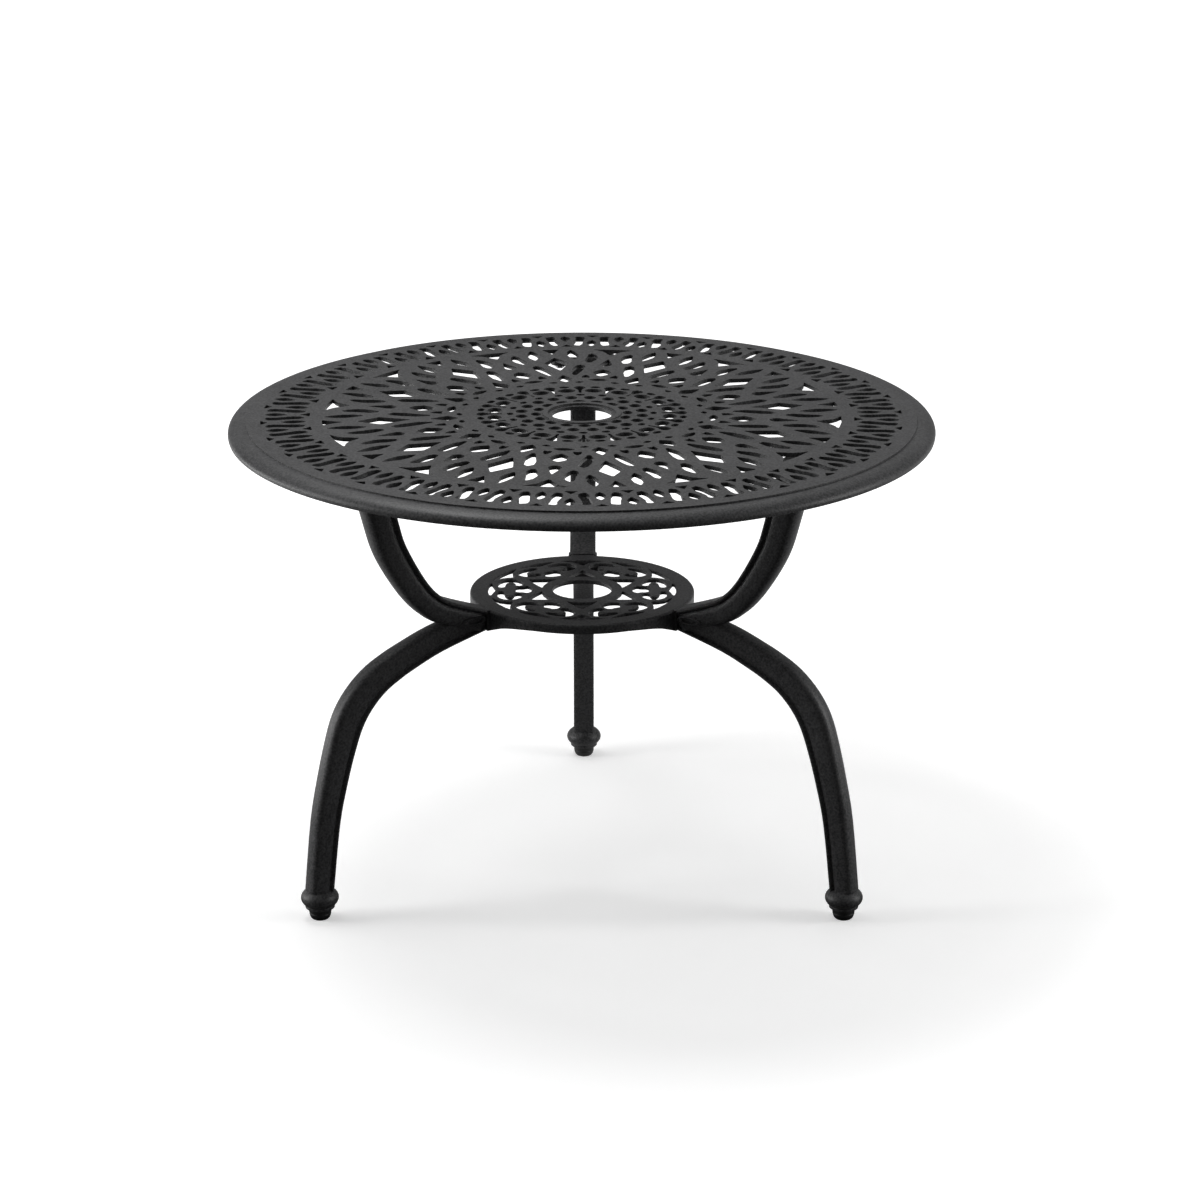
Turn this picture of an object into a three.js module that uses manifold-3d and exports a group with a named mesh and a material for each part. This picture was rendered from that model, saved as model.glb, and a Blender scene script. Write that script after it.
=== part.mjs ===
// Umbrella table: a pierced cast top on three forked legs, with a small round shelf between them.
// Millimetres, +Z up. The origin is on the floor, below the centre of the top.
import * as THREE from 'three';
import { mergeVertices } from 'three/addons/utils/BufferGeometryUtils.js';
import Module from 'manifold-3d';

const wasm = await Module();
wasm.setup();

// Overall sizes
const tableRadius = 535;
const tableHeight = 731;
const shelfHeight = 450;
const footInset = 76;
const legCount = 3;
const firstLegAngle = 90;
const seatGap = 0.3;

// Top casting
const gratingThickness = 5;
const ringThickness = 7;
const rimSegments = 48;
const bullnoseWidth = 28;
const rimRingWidth = 25;
const bandWidth = 69;
const legRingWidth = 19;
const netRadius = 175;
const creaseDepth = 2.4;
const creaseWidth = 2;
const bullnoseDrop = 17.5;
const bullnoseCrestDrop = 2.9;
const skirtDepth = 22;
const skirtWall = 6;
const bullnoseSteps = 2;

// Collar round the umbrella hole
const umbrellaHoleRadius = 45.5;
const collarSeatWidth = 6;
const collarLipWidth = 8.5;
const collarFootWidth = 4;
const collarRise = 2.3;
const collarSeatDepth = 3.6;
const collarDrop = 0.6;
const collarSegments = 22;

// Pattern of the top: counts of its units, and the angle of the first axis of each
const fieldUnits = 12;
const fieldAxisAngle = -7.2;
const bandUnits = 33;
const bandAxisAngle = 0.95;
const netUnits = 20;
const netAxisAngle = 10.5;
const hubHoleCount = 16;
const hubHoleAngle = 3.7;

// Corners of the field's openings: share of the way across the field, and degrees from the unit's axis.
// An outline that the axis halves is given on one side only.
const axisTriangleShares = [[1, 5.6], [0.89, 0]];
const axisDropShares = [[0.68, 0], [0.58, 1.5], [0.54, 0]];
const axisEyeShares = [[0.39, 0], [0.345, 3.4], [0.26, 2.3]];
const axisSlitShares = [[0.157, 0], [0.125, 4.7], [0.093, 0]];
const midTriangleShares = [[0.99, 2.4], [0.92, 0]];
const midDiamondShares = [[0.737, 0], [0.627, 3.9], [0.449, 0]];
const midKiteShares = [[0.214, 0], [0.147, 3.7], [0.089, 0]];

// Openings beside an axis come in mirrored pairs
const upperCrescentShares = [[0.87, 5.1], [0.76, 3], [0.61, 5], [0.76, 4.8]];
const ringSlotShares = [[0.97, 4.2], [0.737, 4.6], [0.737, 5.8], [0.97, 5.4]];
const lowerSlotShares = [[0.54, 5.6], [0.26, 7.2], [0.26, 9.8], [0.53, 7.7]];
const shoulderHoleShares = [[0.235, 5.2], [0.18, 3.7], [0.18, 6.8]];

// Openings of the slot band: share of the way across the band, and degrees from an outer eye's axis
const bandSlotShares = [[0.91, 1.55], [0.69, 1.3], [0.12, 2.6], [0.12, 4.1], [0.91, 3]];
const bandInnerEyeShares = [[0.52, 0], [0.16, 0.9]];
const bandOuterEyeShares = [[0.535, 0], [0.89, 0.85]];

// Round openings of the centre net, as shares of its width: ring, half length and half width, with corners
const netRowShares = {
  hub: { ring: 0.086, half: 0.08, across: 0.075, corners: 4 },
  inner: { ring: 0.306, half: 0.066, across: 0.08, corners: 4 },
  lens: { ring: 0.455, half: 0.052, across: 0.042, corners: 3 },
  large: { ring: 0.68, half: 0.115, across: 0.094, corners: 4 },
  outer: { ring: 0.824, half: 0.068, across: 0.085, corners: 4 },
};

// Shelf
const shelfRadius = 173;
const shelfRimWidth = 27;
const shelfThickness = 6;
const shelfEdgeRadius = 4;
const shelfSkirtDepth = 14;
const shelfSkirtWall = 6;
const shelfCollarWidth = 15;
const shelfCollarThickness = 6.6;
const shelfSegments = 33;
const heartCount = 6;

// Corners of the shelf's openings: share of the way across its lattice, and degrees from a heart's axis
const heartNeckShares = [[0.207, 5.7], [0.32, 8.2], [0.496, 8.3], [0.438, 0]];
const heartCrescentShares = [[0.843, 0], [0.93, 6.4], [0.993, 8.6], [0.993, 0]];
const scrollHoleShares = [
  [0.404, 20.4], [0.58, 26.8], [0.8, 26], [0.85, 16], [0.712, 20.1], [0.568, 21],
];

// Openings between two hearts, in degrees from the line between them
const innerSpandrelShares = [[0.046, 19], [0.188, 9.5], [0.412, 0]];
const outerSpandrelShares = [[0.972, 13.5], [0.88, 5], [0.737, 0]];

// Lower edge of the skirt between two legs: share of the way down to the foot of a lug, and share of the
// shelf's radius sideways. The first corner is below the skirt.
const skirtEdgeShares = [[1.5, 0.814], [1, 0.814], [0.6, 0.737], [0.18, 0.593], [0, 0.427]];

// Lugs that carry the legs
const lugStandout = 2.7;
const lugThickness = 17.7;
const lugWidth = 32;
const lugDrop = 19;

// Legs: one casting with an arm up to the top and a limb down to the foot
const legWidth = 31;
const legDepth = 40;
const legEndHeight = 42;
const ankleHeight = 44;
const ankleInset = 18;
const armWidth = 41;
const armDepth = 50;
const armReach = 56;
const padThickness = 8;
const padEarRadius = 15;
const padEarSpacing = 76;
const padNeckWidth = 36;
const bossRadius = 12;
const bossHeight = 14;

// Course of each inner edge from the shelf: share of the way outwards, share of the way down or up,
// and the depth there as a share of the bar's own
const limbCourseShares = [
  [0, 0, 0.92], [0.28, 0.056, 0.97], [0.46, 0.109, 0.98], [0.56, 0.145, 0.99],
  [0.65, 0.187, 1], [0.73, 0.246, 1], [0.79, 0.314, 1], [0.84, 0.408, 0.97],
  [0.895, 0.541, 0.95], [0.95, 0.713, 0.925], [1, 1, 0.9],
];
const armCourseShares = [
  [1.014, 1.06, 0.99], [0.86, 0.644, 0.99], [0.8, 0.5, 0.99], [0.72, 0.39, 0.99],
  [0.64, 0.287, 0.99], [0.56, 0.2, 0.98], [0.47, 0.132, 0.97], [0.344, 0.075, 0.93], [0, 0, 0.8],
];

// Section of a leg: share of the depth from the inner edge, share of half the width
const legSectionShares = [
  [0, -0.7], [0, 0.7], [0.13, 1], [0.78, 1], [0.985, 0.42], [0.985, -0.42], [0.78, -1], [0.13, -1],
];

// Foot: a turned bulb at the end of the casting, and a levelling glide screwed into it
const bulbRadius = 28;
const bulbHalfHeight = 18;
const bulbCrestHeight = 34;
const bulbWaistRadius = 13;
const bulbRingRadius = 22.4;
const bulbRingHeight = 4.5;
const bulbBottom = 18;
const bulbSegments = 12;
const bulbSteps = 5;
const glideRadius = 17;
const glideToeRadius = 12.5;
const glideShoulder = 7;
const glideSocketFloor = 6;
const footTravel = 10;
const studTop = 58;

// Fasteners
const screwRadius = 4;
const threadRadius = 4.3;
const clearanceRadius = 4.6;
const headAcross = 13;
const headHeight = 5.3;
const headSides = 6;
const screwSides = 8;
const shelfBoltDrop = 17;
const shelfBoltReach = 25;

// Worked-out heights and radii
const footCircleRadius = tableRadius - footInset;
const rimRingRadius = tableRadius - bullnoseWidth;
const bandOuterRadius = rimRingRadius - rimRingWidth;
const bandInnerRadius = bandOuterRadius - bandWidth;
const fieldRadius = bandInnerRadius - legRingWidth;
const collarSeatRadius = umbrellaHoleRadius + collarSeatWidth;
const collarOuterRadius = collarSeatRadius + collarLipWidth;
const collarFootRadius = collarOuterRadius + collarFootWidth;
const shelfLatticeRadius = shelfRadius - shelfRimWidth;
const shelfCollarRadius = umbrellaHoleRadius + shelfCollarWidth;
const lugOuterRadius = shelfRadius + lugStandout;
const lugInnerRadius = lugOuterRadius - lugThickness;
const gratingUnderside = tableHeight - gratingThickness;
const bossFace = gratingUnderside - bossHeight;
const padFace = bossFace - seatGap;
const padUnderside = padFace - padThickness;
const legEndRadius = lugOuterRadius + seatGap;
const legEndBottom = shelfHeight - shelfSkirtDepth - lugDrop;
const legEndTop = legEndBottom + legEndHeight;
const ankleInnerRadius = footCircleRadius - ankleInset;
const padRingRadius = fieldRadius + legRingWidth / 2;
const armTopRadius = padRingRadius - armReach;
const glideTop = bulbBottom - seatGap;
const studSocketTop = studTop + footTravel;

// Finishes
const castPaint = { color: 0x2b2b2c, roughness: 0.62, metalness: 0.35 };
const steelZinc = { color: 0x5a5b5c, roughness: 0.4, metalness: 0.9 };
const blackPlastic = { color: 0x0d0d0e, roughness: 0.55, metalness: 0 };

function signedVolume(geometry) {
  const p = geometry.attributes.position;
  const index = geometry.index;
  const [a, b, c] = [new THREE.Vector3(), new THREE.Vector3(), new THREE.Vector3()];
  let sum = 0;
  for (let i = 0; i < index.count; i += 3) {
    a.fromBufferAttribute(p, index.getX(i));
    b.fromBufferAttribute(p, index.getX(i + 1));
    c.fromBufferAttribute(p, index.getX(i + 2));
    sum += a.dot(b.cross(c));
  }
  return sum;
}

// A three.js geometry as a solid with shared vertices and its faces pointing out
function solid(geometry) {
  geometry.deleteAttribute('normal');
  geometry.deleteAttribute('uv');
  const merged = mergeVertices(geometry);
  const triVerts = Uint32Array.from(merged.index.array);
  if (signedVolume(merged) < 0) {
    for (let i = 0; i < triVerts.length; i += 3) {
      [triVerts[i], triVerts[i + 1]] = [triVerts[i + 1], triVerts[i]];
    }
  }
  const vertProperties = Float32Array.from(merged.attributes.position.array);
  return new wasm.Manifold(new wasm.Mesh({ numProp: 3, vertProperties, triVerts }));
}

function geometryOf(manifold) {
  const mesh = manifold.getMesh();
  const geometry = new THREE.BufferGeometry();
  geometry.setAttribute('position', new THREE.BufferAttribute(mesh.vertProperties, 3));
  geometry.setIndex(new THREE.BufferAttribute(mesh.triVerts, 1));
  geometry.computeVertexNormals();
  return geometry;
}

const joined = (solids) => solids.reduce((sum, next) => sum.add(next));
const cut = (body, tools) => tools.reduce((rest, tool) => rest.subtract(tool), body);

// A closed outline of [radius, height] corners turned about the Z axis
function turned(outline, segments) {
  const points = outline.map(([r, z]) => new THREE.Vector2(r, z));
  points.push(points[0].clone());
  return solid(new THREE.LatheGeometry(points, segments).rotateX(Math.PI / 2));
}

// A round bar along Z from one height to another
function bar(radius, low, high, segments, x = 0, y = 0) {
  const geometry = new THREE.CylinderGeometry(radius, radius, high - low, segments);
  return solid(geometry.rotateX(Math.PI / 2).translate(x, y, (low + high) / 2));
}

function block(x0, x1, width, low, high) {
  const geometry = new THREE.BoxGeometry(x1 - x0, width, high - low);
  return solid(geometry.translate((x0 + x1) / 2, 0, (low + high) / 2));
}

function slab(shape, low, high) {
  const geometry = new THREE.ExtrudeGeometry(shape, { depth: high - low, bevelEnabled: false, steps: 1 });
  return solid(geometry.translate(0, 0, low));
}

function circlePoints(radius, count, x = 0, y = 0) {
  return Array.from({ length: count }, (_, i) => {
    const angle = (2 * Math.PI * i) / count;
    return new THREE.Vector2(x + radius * Math.cos(angle), y + radius * Math.sin(angle));
  });
}

// The other half of an outline that its axis halves
function whole(half) {
  const other = half.filter(([, side]) => side !== 0).map(([along, side]) => [along, -side]);
  return [...half, ...other.reverse()];
}

const mirrored = (outline) => outline.map(([along, side]) => [along, -side]);

// [share of the way from an inner to an outer radius, degrees] corners as points round an axis
function fanned(outline, [inner, outer], axisAngle) {
  return outline.map(([share, degrees]) => {
    const angle = THREE.MathUtils.degToRad(axisAngle + degrees);
    const radius = THREE.MathUtils.lerp(inner, outer, share);
    return new THREE.Vector2(radius * Math.cos(angle), radius * Math.sin(angle));
  });
}

// A rounded opening centred on a ring of the net, its half length along the ring
function rounded(row, axisAngle) {
  const width = netRadius - collarFootRadius;
  return Array.from({ length: row.corners }, (_, i) => {
    const turn = (2 * Math.PI * (i + 0.5)) / row.corners;
    const out = collarFootRadius + width * (row.ring + row.across * Math.cos(turn));
    const point = new THREE.Vector2(out, width * row.half * Math.sin(turn));
    return point.rotateAround(new THREE.Vector2(), THREE.MathUtils.degToRad(axisAngle));
  });
}

function pierce(shape, outlines) {
  outlines.forEach((outline) => shape.holes.push(new THREE.Path(outline)));
}

// Openings of the field between the net and the slot band
function fieldOpenings() {
  const onAxis = [axisTriangleShares, axisDropShares, axisEyeShares, axisSlitShares].map(whole);
  const onMid = [midTriangleShares, midDiamondShares, midKiteShares].map(whole);
  const besideAxis = [upperCrescentShares, lowerSlotShares, shoulderHoleShares];
  const besideMid = [ringSlotShares];
  const pairs = (outlines) => outlines.flatMap((outline) => [outline, mirrored(outline)]);
  const pitch = 360 / fieldUnits;
  const field = [netRadius, fieldRadius];
  const openings = [];
  for (let unit = 0; unit < fieldUnits; unit += 1) {
    const axis = fieldAxisAngle + unit * pitch;
    const mid = axis + pitch / 2;
    [...onAxis, ...pairs(besideAxis)].forEach((o) => openings.push(fanned(o, field, axis)));
    [...onMid, ...pairs(besideMid)].forEach((o) => openings.push(fanned(o, field, mid)));
  }
  return openings;
}

// Curved slots with an eye between each two, standing on the inner ring or hanging from the outer
function bandOpenings() {
  const pitch = 360 / bandUnits;
  const band = [bandInnerRadius, bandOuterRadius];
  const openings = [];
  for (let unit = 0; unit < bandUnits; unit += 1) {
    const axis = bandAxisAngle + unit * pitch;
    openings.push(fanned(bandSlotShares, band, axis));
    openings.push(fanned(mirrored(bandSlotShares), band, axis));
    openings.push(fanned(whole(bandInnerEyeShares), band, axis));
    openings.push(fanned(whole(bandOuterEyeShares), band, axis + pitch / 2));
  }
  return openings;
}

// Rings of round holes between the collar and the field
function netOpenings() {
  const pitch = 360 / netUnits;
  const openings = [];
  for (let unit = 0; unit < netUnits; unit += 1) {
    const axis = netAxisAngle + unit * pitch;
    openings.push(rounded(netRowShares.inner, axis));
    openings.push(rounded(netRowShares.large, axis));
    openings.push(rounded(netRowShares.lens, axis + pitch / 2));
    openings.push(rounded(netRowShares.outer, axis + pitch / 2));
  }
  for (let hole = 0; hole < hubHoleCount; hole += 1) {
    openings.push(rounded(netRowShares.hub, hubHoleAngle + (hole * 360) / hubHoleCount));
  }
  return openings;
}

// Section of the rim: flat ring, crease, bullnose and a skirt that hangs below
function rimOutline() {
  const crestWidth = bullnoseWidth - creaseWidth;
  const crestHeight = bullnoseDrop - bullnoseCrestDrop;
  const nose = [];
  for (let step = 0; step <= bullnoseSteps; step += 1) {
    const turn = (Math.PI / 2) * (step / bullnoseSteps);
    const r = rimRingRadius + creaseWidth + crestWidth * Math.sin(turn);
    nose.push([r, tableHeight - bullnoseDrop + crestHeight * Math.cos(turn)]);
  }
  return [
    [bandOuterRadius + seatGap, tableHeight],
    [rimRingRadius, tableHeight],
    [rimRingRadius + creaseWidth / 2, tableHeight - creaseDepth - seatGap],
    ...nose,
    [tableRadius - skirtWall / 2, tableHeight - skirtDepth],
    [tableRadius - skirtWall, tableHeight - skirtDepth],
    [tableRadius - 2 * skirtWall, tableHeight - ringThickness - creaseDepth],
    [bandOuterRadius + seatGap, tableHeight - ringThickness],
  ];
}

// Collar with a seat for the cap or sleeve of an umbrella hole
function collarOutline() {
  const crown = tableHeight + collarRise;
  return [
    [umbrellaHoleRadius, gratingUnderside - collarDrop],
    [umbrellaHoleRadius, crown - collarSeatDepth],
    [collarSeatRadius, crown - collarSeatDepth],
    [collarSeatRadius, crown],
    [collarOuterRadius, crown],
    [collarFootRadius, gratingUnderside + gratingThickness / 2],
    [collarFootRadius, gratingUnderside - collarDrop],
  ];
}

// Places of the two pad screws of one leg, from the table's axis and across the leg
const padScrews = [-1, 1].map((side) => ({ x: padRingRadius, y: (side * padEarSpacing) / 2 }));

function legAngles() {
  return Array.from({ length: legCount }, (_, i) => firstLegAngle + (i * 360) / legCount);
}

function tabletopGeometry() {
  const plate = new THREE.Shape(circlePoints(rimRingRadius - creaseWidth, rimSegments));
  pierce(plate, [...fieldOpenings(), ...bandOpenings(), ...netOpenings()]);
  pierce(plate, [circlePoints(collarOuterRadius, collarSegments)]);
  const rim = turned(rimOutline(), rimSegments);
  const collar = turned(collarOutline(), collarSegments);
  const bosses = [];
  const sockets = [];
  legAngles().forEach((degrees) => {
    padScrews.forEach(({ x, y }) => {
      const spot = new THREE.Vector2(x, y).rotateAround(new THREE.Vector2(), THREE.MathUtils.degToRad(degrees));
      bosses.push(bar(bossRadius, bossFace, gratingUnderside + gratingThickness / 2, screwSides, spot.x, spot.y));
      const floor = gratingUnderside - screwRadius / 2;
      sockets.push(bar(threadRadius, bossFace - seatGap, floor, screwSides, spot.x, spot.y));
    });
  });
  const grating = slab(plate, gratingUnderside, tableHeight);
  return geometryOf(cut(joined([grating, rim, collar, ...bosses]), sockets));
}

function shelfOpenings() {
  const pitch = 360 / heartCount;
  const lattice = [shelfCollarRadius, shelfLatticeRadius];
  const openings = [];
  for (let heart = 0; heart < heartCount; heart += 1) {
    const axis = heart * pitch;
    openings.push(fanned(whole(heartNeckShares), lattice, axis));
    openings.push(fanned(whole(heartCrescentShares), lattice, axis));
    openings.push(fanned(scrollHoleShares, lattice, axis));
    openings.push(fanned(mirrored(scrollHoleShares), lattice, axis));
    openings.push(fanned(whole(innerSpandrelShares), lattice, axis + pitch / 2));
    openings.push(fanned(whole(outerSpandrelShares), lattice, axis + pitch / 2));
  }
  return openings;
}

// Section of the shelf's edge: flat top, rounded shoulder and a skirt
function shelfEdgeOutline() {
  const shoulder = shelfHeight - shelfEdgeRadius;
  const cornerRadius = shelfRadius - shelfEdgeRadius;
  const diagonal = shelfEdgeRadius * Math.SQRT1_2;
  return [
    [shelfLatticeRadius + seatGap, shelfHeight],
    [cornerRadius, shelfHeight],
    [cornerRadius + diagonal, shoulder + diagonal],
    [shelfRadius, shoulder],
    [shelfRadius, legEndBottom],
    [shelfRadius - shelfSkirtWall, legEndBottom],
    [shelfRadius - shelfSkirtWall, shoulder],
    [shelfLatticeRadius + shelfSkirtWall, shelfHeight - shelfThickness],
    [shelfLatticeRadius + seatGap, shelfHeight - shelfThickness],
  ];
}

// What the skirt's lower edge leaves free between two legs, about the X axis
function skirtGap() {
  const low = shelfHeight - shelfSkirtDepth;
  const face = new THREE.Shape(whole(skirtEdgeShares).map(([down, side]) => (
    new THREE.Vector2(side * shelfRadius, low - down * lugDrop)
  )));
  const gap = new THREE.ExtrudeGeometry(face, { depth: shelfRadius, bevelEnabled: false, steps: 1 });
  return solid(gap.rotateX(Math.PI / 2).rotateZ(Math.PI / 2).translate(shelfLatticeRadius / 2, 0, 0));
}

// A block behind the skirt for the end of one leg
function lug() {
  return block(lugInnerRadius, lugOuterRadius, lugWidth, legEndBottom, shelfHeight - shelfThickness / 2);
}

// A hole along the X axis at the height of the shelf's bolts
function crossHole(radius, x0, x1) {
  const geometry = new THREE.CylinderGeometry(radius, radius, x1 - x0, screwSides);
  return solid(geometry.rotateZ(Math.PI / 2).translate((x0 + x1) / 2, 0, shelfHeight - shelfBoltDrop));
}

function shelfGeometry() {
  const plate = new THREE.Shape(circlePoints(shelfLatticeRadius + shelfSkirtWall / 2, shelfSegments));
  pierce(plate, shelfOpenings());
  pierce(plate, [circlePoints(umbrellaHoleRadius + shelfSkirtWall, collarSegments)]);
  const collar = turned([
    [umbrellaHoleRadius, shelfHeight - shelfCollarThickness],
    [umbrellaHoleRadius, shelfHeight],
    [shelfCollarRadius, shelfHeight],
    [shelfCollarRadius, shelfHeight - shelfCollarThickness],
  ], collarSegments);
  const gaps = legAngles().map((degrees) => skirtGap().rotate([0, 0, degrees + 180 / legCount]));
  const edge = cut(turned(shelfEdgeOutline(), shelfSegments), gaps);
  const lattice = slab(plate, shelfHeight - shelfThickness, shelfHeight);
  const lugs = legAngles().map((degrees) => lug().rotate([0, 0, degrees]));
  const hole = crossHole(clearanceRadius, lugInnerRadius - seatGap, lugOuterRadius + seatGap);
  const holes = legAngles().map((degrees) => hole.rotate([0, 0, degrees]));
  return geometryOf(cut(joined([lattice, edge, collar, ...lugs]), holes));
}

// A bar of changing section through cross-sections that share one count of corners
function loft(rings) {
  const corners = rings[0].length;
  const positions = rings.flat().flatMap((p) => [p.x, p.y, p.z]);
  const faces = [];
  for (let ring = 0; ring < rings.length - 1; ring += 1) {
    for (let i = 0; i < corners; i += 1) {
      const [a, b] = [ring * corners + i, ring * corners + ((i + 1) % corners)];
      faces.push(a, b, b + corners, a, b + corners, a + corners);
    }
  }
  const last = (rings.length - 1) * corners;
  for (let i = 1; i < corners - 1; i += 1) {
    faces.push(0, i + 1, i, last, last + i, last + i + 1);
  }
  const geometry = new THREE.BufferGeometry();
  geometry.setAttribute('position', new THREE.Float32BufferAttribute(positions, 3));
  geometry.setIndex(faces);
  return solid(geometry);
}

// Cross-sections along a course of inner-edge points, each square to the course
function limbRings(course, width) {
  return course.map(({ point, depth }, i) => {
    const before = course[Math.max(i - 1, 0)].point;
    const after = course[Math.min(i + 1, course.length - 1)].point;
    const along = after.clone().sub(before).normalize();
    const outward = new THREE.Vector2(-along.y, along.x);
    return legSectionShares.map(([deep, wide]) => {
      const spot = point.clone().addScaledVector(outward, deep * depth);
      return new THREE.Vector3(spot.x, (wide * width) / 2, spot.y);
    });
  });
}

function course(shares, start, end, depth) {
  return shares.map(([out, rise, deep]) => ({
    point: new THREE.Vector2(
      THREE.MathUtils.lerp(start.x, end.x, out),
      THREE.MathUtils.lerp(start.y, end.y, rise),
    ),
    depth: deep * depth,
  }));
}

// Plate at the top of a leg, with an ear for each of its two screws
function pad() {
  const half = padEarSpacing / 2;
  const shape = new THREE.Shape();
  shape.absarc(padRingRadius, half, padEarRadius, 0, Math.PI, false);
  shape.absarc(padRingRadius, -half, padEarRadius, Math.PI, 2 * Math.PI, false);
  const points = shape.getSpacedPoints(bulbSegments);
  const ears = slab(new THREE.Shape(points.slice(0, -1)), padUnderside, padFace);
  return joined([ears, block(armTopRadius, padRingRadius, padNeckWidth, padUnderside, padFace)]);
}

// Bulb at the foot of a leg, with a ring below it
function bulb() {
  const ringTop = bulbBottom + bulbRingHeight;
  const lowest = Math.asin((ringTop - bulbCrestHeight) / bulbHalfHeight);
  const highest = Math.acos(bulbWaistRadius / bulbRadius);
  const crown = [];
  for (let step = 0; step <= bulbSteps; step += 1) {
    const turn = THREE.MathUtils.lerp(highest, lowest, step / bulbSteps);
    crown.push([bulbRadius * Math.cos(turn), bulbCrestHeight + bulbHalfHeight * Math.sin(turn)]);
  }
  const outline = [
    [0, crown[0][1]],
    ...crown,
    [bulbRingRadius, ringTop],
    [bulbRingRadius, bulbBottom],
    [0, bulbBottom],
  ];
  return turned(outline, bulbSegments).translate([footCircleRadius, 0, 0]);
}

function legGeometry() {
  const lowEnd = new THREE.Vector2(legEndRadius, legEndBottom);
  const highEnd = new THREE.Vector2(legEndRadius, legEndTop);
  const ankle = new THREE.Vector2(ankleInnerRadius, ankleHeight);
  const armTop = new THREE.Vector2(armTopRadius, padUnderside);
  const limb = loft(limbRings(course(limbCourseShares, lowEnd, ankle, legDepth), legWidth));
  const arm = loft(limbRings(course(armCourseShares, highEnd, armTop, armDepth), armWidth));
  const above = block(-tableRadius, tableRadius, tableRadius, padFace, tableHeight + legDepth);
  const inside = block(-tableRadius, legEndRadius, tableRadius, 0, tableHeight);
  const studHole = bar(threadRadius, 0, studSocketTop, screwSides, footCircleRadius, 0);
  const boltHole = crossHole(threadRadius, legEndRadius - seatGap, legEndRadius + shelfBoltReach + seatGap);
  const padHoles = padScrews.map(({ x, y }) => (
    bar(clearanceRadius, padUnderside - seatGap, padFace + seatGap, screwSides, x, y)
  ));
  const casting = joined([limb, arm, pad(), bulb()]);
  return geometryOf(cut(casting, [above, inside, studHole, boltHole, ...padHoles]));
}

// Hexagon screw: its seat at the origin, its shank along +Z
function screwGeometry(length) {
  const head = bar(headAcross / Math.sqrt(3), -headHeight, 0, headSides);
  const shank = bar(screwRadius, -headHeight / 2, length, screwSides);
  return geometryOf(joined([head, shank]));
}

function glideGeometry() {
  const outline = [
    [0, 0],
    [glideToeRadius, 0],
    [glideRadius, glideShoulder],
    [glideRadius, glideTop],
    [threadRadius, glideTop],
    [threadRadius, glideSocketFloor],
    [0, glideSocketFloor],
  ];
  return geometryOf(turned(outline, bulbSegments));
}

const studGeometry = () => geometryOf(bar(screwRadius, glideSocketFloor + seatGap, studTop, screwSides));

const table = new THREE.Group();

function add(parent, name, geometry, finish) {
  const mesh = new THREE.Mesh(geometry, new THREE.MeshStandardMaterial(finish));
  mesh.name = name;
  parent.add(mesh);
  return mesh;
}

add(table, 'table_top', tabletopGeometry(), castPaint);
add(table, 'shelf', shelfGeometry(), castPaint);

const legShape = legGeometry();
const glideShape = glideGeometry();
const studShape = studGeometry();
const padScrewShape = screwGeometry(gratingUnderside - screwRadius / 2 - seatGap - padUnderside);
const shelfScrewShape = screwGeometry(legEndRadius + shelfBoltReach - lugInnerRadius);

legAngles().forEach((degrees, i) => {
  const number = i + 1;
  const side = new THREE.Group();
  side.rotation.z = THREE.MathUtils.degToRad(degrees);
  table.add(side);
  add(side, `leg_${number}`, legShape, castPaint);
  padScrews.forEach(({ x, y }, k) => {
    const screw = add(side, `top_screw_${number}${'ab'[k]}`, padScrewShape, steelZinc);
    screw.position.set(x, y, padUnderside - seatGap);
  });
  const shelfScrew = add(side, `shelf_screw_${number}`, shelfScrewShape, steelZinc);
  shelfScrew.position.set(lugInnerRadius - seatGap, 0, shelfHeight - shelfBoltDrop);
  shelfScrew.rotation.y = Math.PI / 2;
  add(side, `foot_stud_${number}`, studShape, steelZinc).position.x = footCircleRadius;
  add(side, `foot_glide_${number}`, glideShape, blackPlastic).position.x = footCircleRadius;
});

export default table;
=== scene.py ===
"""Umbrella table: pierced cast top, small pierced shelf and three forked legs on levelling feet.

Sizes are in metres. The origin is on the floor below the centre of the top, and leg 1 points
along +Y.
"""
import logging
import math
from contextlib import contextmanager
from dataclasses import dataclass
from enum import Enum
from typing import Callable, Iterator, Optional, Sequence, Union

import bmesh
import bpy
from mathutils import Matrix, Vector


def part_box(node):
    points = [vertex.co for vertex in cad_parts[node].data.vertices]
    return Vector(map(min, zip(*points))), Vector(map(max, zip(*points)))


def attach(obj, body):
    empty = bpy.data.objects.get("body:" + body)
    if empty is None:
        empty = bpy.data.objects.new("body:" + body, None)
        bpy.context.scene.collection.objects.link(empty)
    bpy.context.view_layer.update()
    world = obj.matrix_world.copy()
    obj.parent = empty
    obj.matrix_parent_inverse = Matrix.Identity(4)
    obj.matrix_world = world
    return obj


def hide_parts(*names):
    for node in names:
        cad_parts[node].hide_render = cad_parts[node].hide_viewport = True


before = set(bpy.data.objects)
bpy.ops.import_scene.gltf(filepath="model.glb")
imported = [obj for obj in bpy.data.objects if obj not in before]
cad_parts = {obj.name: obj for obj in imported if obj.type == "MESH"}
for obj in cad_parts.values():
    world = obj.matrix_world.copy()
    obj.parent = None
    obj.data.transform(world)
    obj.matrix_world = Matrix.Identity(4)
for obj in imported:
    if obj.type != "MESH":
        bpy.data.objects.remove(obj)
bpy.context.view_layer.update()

log = logging.getLogger("umbrella_table")

MM = 0.001
FRAME_BODY = "table_frame"
LEG_COUNT = 3
FIRST_LEG_ANGLE = 90.0
SEAT_GAP = 0.3 * MM
WELD = 0.02 * MM
# In millimetres, as plates are drawn
CURVE_WELD = 0.002
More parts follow.
